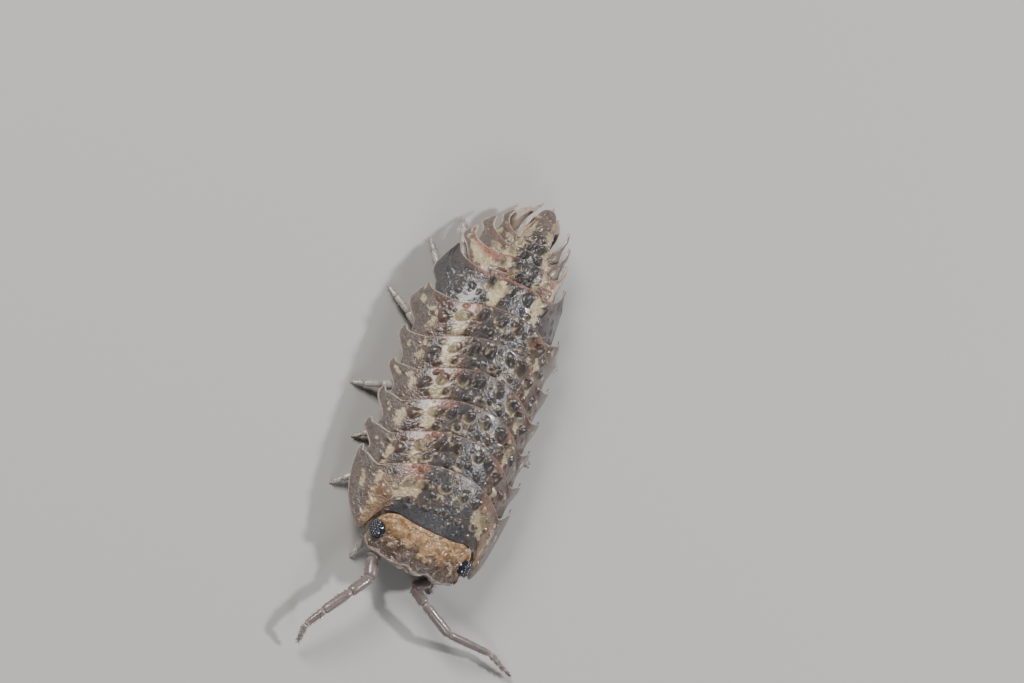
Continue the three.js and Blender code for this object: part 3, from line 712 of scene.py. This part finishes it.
def strip_margin(side, y, side_shift, reach=0.0):
    """The margin of a short strip without lobes, slightly bowed."""
    return margin([(0, y), (side * 0.6, y - 0.01), (side + reach, y - side_shift)])


for n, seg in enumerate(PLEONITES):
    before = PLEONITES[n - 1] if n else PEREONITES[-1]
    start = before["hind"] + TUCK
    if n < FIRST_TAIL_LOBES:
        front = strip_margin(seg["side"], start, 0.02)
        hind = strip_margin(seg["side"], seg["hind"] + LAP, 0.03, reach=0.03)
        width = seg["side"]
    elif n == FIRST_TAIL_LOBES:
        beside_strips = [(0, start), (0.55, start), (0.85, start - 0.08), (1.02, 3.0), (1.25, 2.98),
                         (1.48, 3.12), (1.56, 3.42)]
        front = margin(beside_strips + outer_edge(seg))
    else:
        front = next_front(before, seg)
    if n >= FIRST_TAIL_LOBES:
        hind = hind_line(seg)
        width = seg["outer"][0]
    make_plate(f"plate_pleonite_{n + 1}", front, hind, grid=(150, 46), width=width, length=0.4,
               knobs=TAIL_KNOBS, knob_scale=0.9, granules=TAIL_GRANULES, marks=partial(tail_marks, n),
               rim_glow=0.7, free_from=0.62, material=tail_horn, seed=40 + n,
               curl=TAIL_CURL)
print("tail plates made")

# %% The tail's last plate
# A share across that no place reaches, because this plate's whole front is under the one before
TUCKED_IN = 2.0
telson_front = margin([(0, 4.5), (0.3, 4.5), (0.5, 4.6)])
telson_hind = margin([(0, 6.02), (0.15, 5.98), (0.27, 5.84), (0.35, 5.5), (0.42, 5.11), (0.5, 4.91)])


def last_plate_marks(a, v, x, y, rng):
    """The tail's marks, drawn wider so that the dark middle fills the point."""
    return tail_marks(LAST_TAIL_PLATE, a * 0.6, v, x, y, rng)


make_plate("plate_pleotelson", telson_front, telson_hind, grid=(90, 90), width=0.55, length=1.2,
           knobs=LAST_PLATE_KNOBS, knob_scale=1.0, granules=LAST_PLATE_GRANULES, marks=last_plate_marks,
           rim_glow=0.7, free_from=TUCKED_IN, material=tail_horn, seed=60)
print("last tail plate made")

# %% [markdown]
# ## Head
# The head is a broad shield between the arms of the first plate. A thin rim with three lobes runs
# along its front, over a face that is set back under it. Its top is wrinkled and knobbly, with
# folds that run out from the eyes like rays. It is the same kind of grid slab as a plate, because
# its outline is two margins too, with one relief added on top of another.

# %% Head shield
HEAD_HALF = 1.6
HEAD_HEIGHT, HEAD_RISE, HEAD_SIDE_DROP = 1.68, 0.44, 0.60
HEAD_RIM_BOTTOM, HEAD_RIM_THICK = 0.74, 0.14
HEAD_KNOBS = [(0.2, -5.75), (0.62, -5.55), (1.02, -5.72), (0.3, -5.32), (0.9, -5.28)]
HEAD_KNOB_RADIUS, HEAD_KNOB_HEIGHT = 0.13, 0.12
HEAD_WRINKLES = 90
EYE_RAYS = 9
head_front = margin([(0, -6.22), (0.14, -6.19), (0.3, -6.09), (0.42, -6.08), (0.62, -6.14), (0.9, -6.11),
                     (1.25, -5.98), (1.48, -5.89), (1.61, -5.72), (1.62, -5.5)])
head_hind = margin([(0, -4.95), (0.7, -4.9), (1.2, -4.79), (1.5, -4.9), (1.64, -5.24)])


def head_top(x, v):
    """Height of the shield, highest at the rear and falling to the sides."""
    side = np.abs(x) / HEAD_HALF
    middle = HEAD_HEIGHT + HEAD_RISE * np.sin(v * np.pi * 0.5)
    return middle - HEAD_SIDE_DROP * side ** 2.2 + 0.05 * np.sin(np.pi * v) * (1 - side)


head = finish_piece("head_shield", grid_slab(200, 110), ["head"], head_horn)
u, v, top = grid_shares(head.data)
t = np.abs(u)
x, y = between(head_front, head_hind, u, v)[:2]
z = head_top(x, v)
print("head shield is", round(float(np.ptp(x)), 2), "mm wide")

# %% Relief of the head
rng = np.random.default_rng(5)
rise = np.zeros_like(x)
tips = np.zeros_like(x)
for kx, ky in HEAD_KNOBS:
    for side in (-1, 1):
        d = np.hypot(x - side * kx, y - ky) / HEAD_KNOB_RADIUS
        rise = np.maximum(rise, HEAD_KNOB_HEIGHT * np.clip(1 - d * d, 0, 1) ** 1.1)
        tips = np.maximum(tips, smooth(1.2, 0.4, d))
for _ in range(HEAD_WRINKLES):
    cx, cy, r = rng.uniform(-1.55, 1.55), rng.uniform(-6.0, -5.0), rng.uniform(0.03, 0.08)
    angle = math.atan2(cx, 2.0) + rng.uniform(-0.5, 0.5)
    lengthwise = (x - cx) * math.sin(angle) + (y - cy) * math.cos(angle)
    sideways = (x - cx) * math.cos(angle) - (y - cy) * math.sin(angle)
    d = np.hypot(lengthwise / (1.9 * r), sideways / r)
    rise += rng.uniform(0.015, 0.04) * np.clip(1 - d * d, 0, 1) ** 1.4
wide, fine = mottle(x, y, 0.3, rng), mottle(x, y, 0.15, rng)
ray = np.arctan2(y - EYE_CENTRE[1], np.abs(x) - EYE_CENTRE[0])
reach = np.hypot(y - EYE_CENTRE[1], np.abs(x) - EYE_CENTRE[0])
rise += 0.03 * np.sin(EYE_RAYS * ray) * smooth(0.25, 0.4, reach) * smooth(0.95, 0.5, reach)
rise += 0.05 * wide + 0.022 * fine
front_rim = 0.06 * smooth(0.07, 0.02, v) * smooth(1.0, 0.9, t)
rear_rim = 0.045 * smooth(0.84, 0.93, v)
rise = rise + front_rim + rear_rim
edge_fade = smooth(1.0, 0.985, v) * smooth(1.0, 0.97, t)
thin = np.maximum(1 - smooth(0.1, 0.36, v), smooth(0.88, 0.985, t))
under = HEAD_RIM_BOTTOM + (z - HEAD_RIM_THICK - HEAD_RIM_BOTTOM) * thin
place_points(head.data, x, y, np.where(top, z + rise * edge_fade, under))
print("the head's relief is up to", round(float(rise.max()), 2), "mm high")

# %% Marks of the head
# Painted shade: the brown mark darkens the troughs between the folds that run out from the eyes
painted_fold_shade = smooth(0.1, -0.6, np.sin(EYE_RAYS * ray)) * smooth(0.3, 0.45, reach) * smooth(0.95, 0.5, reach)
masks = {
    "lobe": 0.9 * smooth(0.5, 0.12, v + 0.1 * wide),
    "slate": 0.5 * ragged(0.22, wide),
    "brown": np.maximum(0.8 * ragged(0.5, fine), 0.9 * painted_fold_shade),
    "cream": 0.85 * ragged(0.40 * smooth(0.35, 0.7, v) + 0.55 * tips, fine),
    "salmon": 0.4 * ragged(0.3 * v, wide),
    "amber": 0.85 * ragged(0.8 * smooth(0.15, 0.7, v), wide),
    "knob": np.zeros_like(x),
    "rim": 0.55 * np.maximum(smooth(0.035, 0.01, v), smooth(0.975, 0.99, t)),
}
for mark in MARKS:
    write_attribute(head.data, mark, np.clip(masks[mark], 0, 1))
print("head shield has", len(head.data.polygons), "faces")

# %% [markdown]
# ## Eyes
# Each eye is an oval cluster of round lenses, blue-black and glossy, on a dark dome. The real
# one has more and finer lenses. Here they are 23, large enough to be told apart in the picture.
# They sit in staggered rows, and each is a small ball sunk into the dome.

# %% Eyes
LENS_RADIUS, LENS_STEP, LENS_ROW_STEP = 0.058, 0.108, 0.094
PATCH_HALF_WIDTH, PATCH_HALF_LENGTH = 0.25, 0.3
DOME_SHARE = 0.93
lens_finish = horny_finish("eye lens", (0.012, 0.015, 0.026), {}, LIMB_SURFACE, gloss=0.02, coat=1.0,
                           grain=0.2)
for side, name in ((-1, "eye_right"), (1, "eye_left")):
    bm = bmesh.new()
    centre = Vector((side * EYE_CENTRE[0], EYE_CENTRE[1], EYE_CENTRE[2]))
    dome = Matrix.Translation(centre) @ Matrix.Diagonal((*(r * DOME_SHARE for r in EYE_RADII), 1))
    bmesh.ops.create_uvsphere(bm, u_segments=32, v_segments=20, radius=1.0, matrix=dome)
    look = Vector((side * 0.72, -0.1, 0.68)).normalized()
    across = Vector((0, 1, 0)).cross(look).normalized()
    lengthwise = look.cross(across).normalized()
    for i in range(-4, 5):
        for j in range(-4, 5):
            p = (i + 0.5 * (j % 2)) * LENS_STEP
            q = j * LENS_ROW_STEP
            if math.hypot(p / PATCH_HALF_WIDTH, q / PATCH_HALF_LENGTH) > 1.0:
                continue
            d = look * math.sqrt(max(0.05, 1 - (p / 0.3) ** 2 * 0.55 - (q / 0.33) ** 2 * 0.55))
            d = (d + across * p / 0.34 + lengthwise * q / 0.36).normalized()
            place = centre + Vector((d.x * EYE_RADII[0], d.y * EYE_RADII[1], d.z * EYE_RADII[2])) * DOME_SHARE
            bmesh.ops.create_icosphere(bm, subdivisions=3, radius=LENS_RADIUS,
                                       matrix=Matrix.Translation(place))
    for vertex in bm.verts:
        vertex.co = Vector(to_row(vertex.co))
    finish_piece(name + "_lenses", bm, [name], lens_finish)
print("eyes made")

# %% [markdown]
# ## Jointed limbs
# Legs and feelers are chains of articles. Each article is drawn as a ring pushed along its
# length, wider towards its far end and pinched at the joints. Stacked cylinders would be easier,
# but their straight sides look like pipes.

# %% Sweep of a ring
FLOOR_LEVEL = float(solid_low[2] / MM - SHIFT[2])


def add_sweep(bm, stations, segments, flat=1.0):
    """A ring extruded from station to station and closed. A station is a place and a radius."""
    stations = [(Vector(place), radius) for place, radius in stations]
    axis = (stations[-1][0] - stations[0][0]).normalized()
    side = Vector((0, 0, 1)).cross(axis)
    side = side.normalized() if side.length > 0.1 else Vector((1, 0, 0))
    up = axis.cross(side).normalized()
    ring = bmesh.ops.create_circle(bm, cap_ends=False, segments=segments, radius=1.0)["verts"]
    unit = [v.co.copy() for v in ring]
    edges = list({e for v in ring for e in v.link_edges})
    order = {v: k for k, v in enumerate(ring)}
    first_edges = edges
    for k, (place, radius) in enumerate(stations):
        if k:
            made = bmesh.ops.extrude_edge_only(bm, edges=edges)["geom"]
            new_verts = [g for g in made if isinstance(g, bmesh.types.BMVert)]
            edges = [g for g in made if isinstance(g, bmesh.types.BMEdge)]
            order = {v: next(order[e.other_vert(v)] for e in v.link_edges if e.other_vert(v) in order)
                     for v in new_verts}
        for v, i in order.items():
            v.co = place + side * unit[i].x * radius + up * unit[i].y * radius * flat
    for loop in (first_edges, edges):
        bmesh.ops.edgeloop_fill(bm, edges=loop)


print("limbs stand at", round(FLOOR_LEVEL, 3), "mm")

# %% Articles and bristles
# Places along an article, as shares of its length, and how wide it is there
ARTICLE = [(-0.02, 0.6), (0.05, 0.84), (0.2, 0.95), (0.5, 1.0), (0.82, 1.05), (0.95, 1.0), (1.0, 0.82)]
BRISTLE_RADIUS, BRISTLE_TIP = 0.011, 0.002


def add_article(bm, start, end, segments):
    """One article between two joints, each a place and a radius in one row of four numbers."""
    a, b = Vector(start[:3]), Vector(end[:3])
    stations = [(a.lerp(b, share), (start[3] + (end[3] - start[3]) * share) * swell)
                for share, swell in ARTICLE]
    add_sweep(bm, stations, segments)


def add_bristles(bm, start, end, count, length, rng, tilt=0.75):
    """Stiff bristles all round an article, leaning towards its far end."""
    a, b = Vector(start[:3]), Vector(end[:3])
    axis = (b - a).normalized()
    side = axis.orthogonal().normalized()
    up = axis.cross(side)
    for _ in range(count):
        share = rng.uniform(0.08, 0.97)
        angle = rng.uniform(0, 2 * math.pi)
        out = side * math.cos(angle) + up * math.sin(angle)
        radius = start[3] + (end[3] - start[3]) * share
        root = a.lerp(b, share) + out * radius * 0.9
        way = (out + axis * tilt * rng.uniform(0.6, 1.3)).normalized()
        reach = length * rng.uniform(0.6, 1.2)
        turn = Vector((0, 0, 1)).rotation_difference(way).to_matrix().to_4x4()
        bmesh.ops.create_cone(bm, segments=4, radius1=BRISTLE_RADIUS, radius2=BRISTLE_TIP, depth=reach,
                              cap_ends=True, matrix=Matrix.Translation(root + way * reach * 0.5) @ turn)


def widened(joint, factor):
    """The same joint with a wider or narrower radius."""
    return (*joint[:3], joint[3] * factor)


def finish_limb(name, bm, joints, node, material):
    """Write the limb with a mask that is strongest at its joints, each a place and a radius."""
    bmesh.ops.recalc_face_normals(bm, faces=bm.faces)
    co = np.array([v.co for v in bm.verts])
    near = np.min([np.linalg.norm(co - np.array(j[:3]), axis=1) / j[3] for j in joints], axis=0)
    for vertex in bm.verts:
        vertex.co.z = max(vertex.co.z, FLOOR_LEVEL)
        vertex.co = Vector(to_row(vertex.co))
    obj = finish_piece(name, bm, [node], material)
    write_attribute(obj.data, "joint", smooth(1.15, 0.6, near) * 0.8)


print("a bristle is", 2 * BRISTLE_RADIUS, "mm thick")

# %% [markdown]
# ## Feelers
# The large feelers have five stout articles and a short bristly whip of four tiny articles that
# ends in a tuft. Their places are those of the solid model. They are darker than the legs, and
# paler where they bend.

# %% Feelers
FEELERS = {
    "antenna_right": [(-1.0, -5.66, 0.98, 0.19), (-1.16, -6.1, 1.02, 0.19), (-1.08, -6.7, 1.14, 0.17),
                      (-1.55, -7.35, 1.2, 0.145), (-2.1, -8.15, 1.05, 0.13), (-2.42, -8.7, 0.86, 0.08),
                      (-2.31, -9.12, 0.47, 0.035)],
    "antenna_left": [(0.92, -5.66, 0.98, 0.19), (0.84, -6.0, 0.98, 0.18), (0.47, -6.34, 0.86, 0.16),
                     (0.9, -6.7, 1.02, 0.145), (2.02, -7.2, 0.88, 0.135), (3.7, -7.1, 0.46, 0.09),
                     (4.6, -7.38, 0.23, 0.035)],
}
WHIP_ARTICLES = 4
feeler_finish = horny_finish("feeler horn", (0.17, 0.135, 0.125), {"joint": (0.38, 0.33, 0.30)}, LIMB_SURFACE,
                             gloss=0.2, coat=0.35, subsurface=0.3)


def part_way(start, end, share):
    """The place and radius at a share of the way from one joint to the next."""
    return [start[c] + (end[c] - start[c]) * share for c in range(4)]


for number, (name, joints) in enumerate(FEELERS.items()):
    rng = np.random.default_rng(80 + number)
    bm = bmesh.new()
    pale = []
    for a, b in zip(joints[:-2], joints[1:-1]):
        add_article(bm, a, widened(b, 1.06), 18)
        add_bristles(bm, a, b, 70, 0.09, rng)
        pale.append(widened(a, 0.9))
    whip, tip = joints[-2:]
    for k in range(WHIP_ARTICLES):
        a, b = part_way(whip, tip, k / WHIP_ARTICLES), part_way(whip, tip, (k + 1) / WHIP_ARTICLES)
        add_article(bm, widened(a, 1.05), widened(b, 1.1), 12)
        add_bristles(bm, a, b, 40, 0.1, rng, tilt=1.6)
        pale.append(widened(a, 1.6))
    beyond = [b[c] + 0.2 * (b[c] - a[c]) for c in range(3)]
    add_bristles(bm, (*b[:3], 0.02), (*beyond, 0.01), 12, 0.12, rng, tilt=3)
    pale.append(widened(whip, 0.9))
    finish_limb(name + "_articles", bm, pale, name, feeler_finish)
print("feelers made")

# %% [markdown]
# ## Legs
# Seven pairs of walking legs leave the belly, bow up under the side lobes and come down on small
# flat feet. The front pairs reach forward and the rear pairs back. Each ends in a dark claw. One
# row of joints serves all fourteen: only the places of the root and the foot differ.

# %% Legs
BELLY_HEIGHT = 0.86
LEG_ROOT_X = 1.05
# Place of each leg's root along the body, and of its foot across and along
LEGS = [(-4.25, (1.42, -6.1)), (-2.72, (2.8, -4.3)), (-1.66, (2.62, -2.72)), (-0.6, (3.22, -1.22)),
        (0.42, (3.1, 2.0)), (1.46, (2.42, 3.95)), (2.5, (1.86, 5.0))]
# Joints of a leg as share of the way out, height and radius
LEG_JOINTS = [(0, BELLY_HEIGHT + 0.06, 0.24), (0.03, 0.5, 0.2), (0.4, 0.56, 0.145), (0.62, 0.42, 0.12),
              (0.84, 0.22, 0.085), (0.97, 0.07, 0.045)]
LEG_TIP = (1.0, 0.012, 0.012)
CLAW_SPOT = 0.06
limb_finish = horny_finish("leg horn", (0.40, 0.36, 0.33), {"joint": (0.26, 0.20, 0.17)}, LIMB_SURFACE,
                           gloss=0.22, coat=0.3, subsurface=0.35)
for number, (root_y, foot) in enumerate(LEGS):
    for side, word in ((-1, "right"), (1, "left")):
        rng = np.random.default_rng(100 + 2 * number + (side > 0))
        bm = bmesh.new()

        def at(share, height, radius):
            """A joint at a share of the way from the leg's root to its foot."""
            x = side * (LEG_ROOT_X + (foot[0] - LEG_ROOT_X) * share)
            x += bend(root_y) * (1 - share) + bend(foot[1]) * share
            return (float(x), root_y + (foot[1] - root_y) * share, height, radius)

        joints = [at(*joint) for joint in LEG_JOINTS]
        for i, (a, b) in enumerate(zip(joints, joints[1:])):
            add_article(bm, a, widened(b, 1.08), 14)
            add_bristles(bm, a, b, 26 if i > 1 else 10, 0.1, rng)
        ankle, claw = joints[-1], at(*LEG_TIP)
        add_article(bm, widened(ankle, 0.8), claw, 10)
        dark = [widened(joint, 0.9) for joint in joints[1:]] + [(*claw[:3], CLAW_SPOT)]
        leg = f"leg_{word}_{number + 1}"
        finish_limb(leg + "_articles", bm, dark, leg, limb_finish)
print("fourteen legs made")

# %% [markdown]
# ## Tail appendages
# Beside the last plate a flat leaf-shaped blade stands out on each side, and a thin pale rod with
# bristles at its tip reaches back past it. Both are swept like the legs, the blade with its ring
# pressed flat.

# %% Tail blades and rods
uropod_finish = horny_finish("tail blade", (0.36, 0.29, 0.24), {"joint": (0.22, 0.15, 0.12)}, LIMB_SURFACE,
                             gloss=0.22, coat=0.4, subsurface=0.35)
BLADE = [(0.66, 4.74, 0.92, 0.10), (0.66, 5.0, 0.92, 0.17), (0.65, 5.3, 0.90, 0.2), (0.61, 5.6, 0.87, 0.18),
         (0.54, 5.82, 0.85, 0.11), (0.48, 5.96, 0.84, 0.02)]
ROD = [(0.6, 5.2, 0.8, 0.09), (0.38, 5.8, 0.68, 0.07), (0.26, 6.1, 0.64, 0.055)]
ROD_TIP = [(0.26, 6.1, 0.64, 0.05), (0.2, 6.3, 0.62, 0.02)]
ROD_SPOT = (0.26, 6.14, 0.62, 0.08)
for side, name in ((-1, "uropod_right"), (1, "uropod_left")):
    rng = np.random.default_rng(140 + side)
    bm = bmesh.new()

    def put(x, y, z, radius):
        """A place on this side of the tail, with its radius."""
        return (side * x + float(bend(y)), y, z, radius)

    for shape, segments, flat in ((BLADE, 20, 0.4), (ROD, 12, 1.0)):
        stations = [put(*station) for station in shape]
        add_sweep(bm, [(station[:3], station[3]) for station in stations], segments, flat)
    root, tip = (put(*station) for station in ROD_TIP)
    add_article(bm, root, tip, 12)
    add_bristles(bm, root, tip, 14, 0.07, rng, tilt=2)
    finish_limb(name + "_blade", bm, [put(*ROD_SPOT)], name, uropod_finish)
print("tail appendages made")

# %% [markdown]
# ## Underside
# Under the plates the body is soft, pale and faintly ringed. One closed skin runs from the head
# to the tail, so no seam shows between the segments. Small gill plates overlap under the tail,
# and a few pads stand for the mouthparts. These are plain flattened balls, since they are seen
# only when the model is turned over.

# %% Belly skin
BELLY_FRONT, BELLY_LENGTH = -5.25, 10.9
BELLY_PLACES = [-5.25, -4.6, 1.2, 2.0, 3.0, 3.7, 4.4, 5.0, 5.65]
BELLY_HALF_WIDTHS = [1.35, 1.5, 1.5, 1.25, 0.85, 0.78, 0.56, 0.42, 0.3]
FOLD_FROM, FOLD_STEP, FOLD_DEPTH = 3.1, 1.035, 0.12
BELLY_SIDE_RISE = 0.34
UNDER_THE_BACK = 0.26
belly_finish = horny_finish("belly skin", (0.46, 0.38, 0.31), {}, LIMB_SURFACE, gloss=0.35, subsurface=0.25,
                            grain=0.25)
belly = finish_piece("belly_skin", grid_slab(60, 200), [f"pereonite_{n}" for n in range(1, 8)],
                     belly_finish)
u, v, top = grid_shares(belly.data)
y = BELLY_FRONT + BELLY_LENGTH * v
x = u * np.interp(y, BELLY_PLACES, BELLY_HALF_WIDTHS)
fold = np.abs(np.sin(np.pi * (y + FOLD_FROM) / FOLD_STEP)) ** 0.5
bottom = BELLY_HEIGHT + FOLD_DEPTH * (1 - fold) + BELLY_SIDE_RISE * np.abs(u) ** 6
place_points(belly.data, x + bend(y), y, np.where(top, arch(x, y) - UNDER_THE_BACK, bottom))
print("belly skin has", len(belly.data.polygons), "faces")

# %% Gill plates and mouthparts
GILL_PAIRS, GILL_FRONT, GILL_STEP, GILL_TILT = 5, 3.35, 0.42, 12
MOUTHPARTS = [((0.2, -5.5, 0.62), (0.2, 0.36, 0.12)), ((0.55, -5.6, 0.72), (0.2, 0.26, 0.16)),
              ((0.16, -5.86, 0.78), (0.17, 0.14, 0.12))]
bm = bmesh.new()
for n in range(GILL_PAIRS):
    for side in (-1, 1):
        y = GILL_FRONT + GILL_STEP * n
        half = 0.52 - 0.06 * n
        place = Matrix.Translation((side * half * 0.75 + float(bend(y)), y, 0.8 + 0.012 * n))
        tilt = Matrix.Rotation(math.radians(GILL_TILT), 4, "X")
        shape = Matrix.Diagonal((half * 0.72, 0.34, 0.06, 1))
        bmesh.ops.create_uvsphere(bm, u_segments=28, v_segments=14, radius=1.0, matrix=place @ tilt @ shape)
for side in (-1, 1):
    for (x, y, z), radii in MOUTHPARTS:
        place = Matrix.Translation((side * x, y, z))
        bmesh.ops.create_uvsphere(bm, u_segments=24, v_segments=14, radius=1.0,
                                  matrix=place @ Matrix.Diagonal((*radii, 1)))
for vertex in bm.verts:
    vertex.co = Vector(to_row(vertex.co))
finish_piece("gill_plates_and_mouthparts", bm, [], belly_finish)
print("underside made")

# %% [markdown]
# ## Floor and light
# The model stands on a plain pale floor in soft studio light: a large lamp for the shapes, a weak
# one to fill the shadows, and a small one that gives the wet-looking horn its sparkle.

# %% Floor
FLOOR_HALF = 0.6
bm = bmesh.new()
bmesh.ops.create_grid(bm, x_segments=1, y_segments=1, size=FLOOR_HALF)
floor_mesh = bpy.data.meshes.new("floor")
bm.to_mesh(floor_mesh)
bm.free()
floor = bpy.data.objects.new("floor", floor_mesh)
bpy.context.scene.collection.objects.link(floor)
floor_finish = bpy.data.materials.new("pale floor")
floor_finish.use_nodes = True
floor_shader = floor_finish.node_tree.nodes["Principled BSDF"]
floor_shader.inputs["Base Color"].default_value = (0.40, 0.39, 0.37, 1)
floor_shader.inputs["Roughness"].default_value = 0.8
floor_mesh.materials.append(floor_finish)
print("floor is", 2 * FLOOR_HALF, "m wide")

# %% Light
world = bpy.data.worlds.new("studio")
bpy.context.scene.world = world
world.use_nodes = True
sky = world.node_tree.nodes["Background"]
sky.inputs["Color"].default_value = (0.95, 0.97, 1.0, 1)
sky.inputs["Strength"].default_value = 0.12


def soft_light(name, place, size, power, colour):
    """A round lamp at a place in metres, turned to the animal."""
    data = bpy.data.lights.new(name, "AREA")
    data.shape = "DISK"
    data.size = size
    data.energy = power
    data.color = colour
    light = bpy.data.objects.new(name, data)
    light.location = place
    to_animal = Vector((0, 0, MM)) - Vector(place)
    light.rotation_euler = to_animal.to_track_quat("-Z", "Y").to_euler()
    bpy.context.scene.collection.objects.link(light)


soft_light("key", (-0.12, 0.06, 0.11), 0.07, 0.36, (1.0, 0.98, 0.95))
soft_light("fill", (0.04, -0.13, 0.10), 0.05, 0.09, (0.93, 0.96, 1.0))
soft_light("sparkle", (0.09, 0.04, 0.11), 0.015, 0.20, (0.97, 0.98, 1.0))
print("three lights made")

# %% [markdown]
# ## Camera
# The camera looks down from the animal's front right, with the head low in the picture, as in the
# photograph. The view is given by how far it leans to the side and front, by how many pixels a
# millimetre takes, and by the pixel where one known place of the back has to come out. A long
# lens from a distance of many body lengths keeps the near and far parts at one scale.

# %% Camera
PICTURE_WIDTH, PICTURE_HEIGHT = 1024, 683
PIXELS_PER_MM = 34.0
ANCHOR, ANCHOR_PIXEL = np.array([0, 0, 2.6]), (494, 378)
DISTANCE = 160.0
VIEW_SIDE, VIEW_FRONT = 0.40, 0.29
VIEW_ROLL = -26
SENSOR_WIDTH = 36
toward = Vector((-VIEW_SIDE, -VIEW_FRONT, math.sqrt(1 - VIEW_SIDE ** 2 - VIEW_FRONT ** 2)))
flat_x = (Vector((1, 0, 0)) - toward * toward.x).normalized()
flat_y = toward.cross(flat_x)
roll = math.radians(VIEW_ROLL)
right = flat_x * math.cos(roll) - flat_y * math.sin(roll)
up = flat_x * math.sin(roll) + flat_y * math.cos(roll)
aim = Vector(ANCHOR + SHIFT) + right * ((PICTURE_WIDTH / 2 - ANCHOR_PIXEL[0]) / PIXELS_PER_MM)
aim = aim + up * ((ANCHOR_PIXEL[1] - PICTURE_HEIGHT / 2) / PIXELS_PER_MM)
camera_data = bpy.data.cameras.new("camera")
camera_data.sensor_width = SENSOR_WIDTH
camera_data.lens = SENSOR_WIDTH * DISTANCE * PIXELS_PER_MM / PICTURE_WIDTH
camera_data.clip_start = 0.001
camera_data.clip_end = 10
camera = bpy.data.objects.new("camera", camera_data)
turn = Matrix((right, up, toward)).transposed().to_4x4()
camera.matrix_world = Matrix.Translation((aim + toward * DISTANCE) * MM) @ turn
bpy.context.scene.collection.objects.link(camera)
bpy.context.scene.camera = camera
print("lens", round(camera_data.lens), "mm at", DISTANCE, "mm")
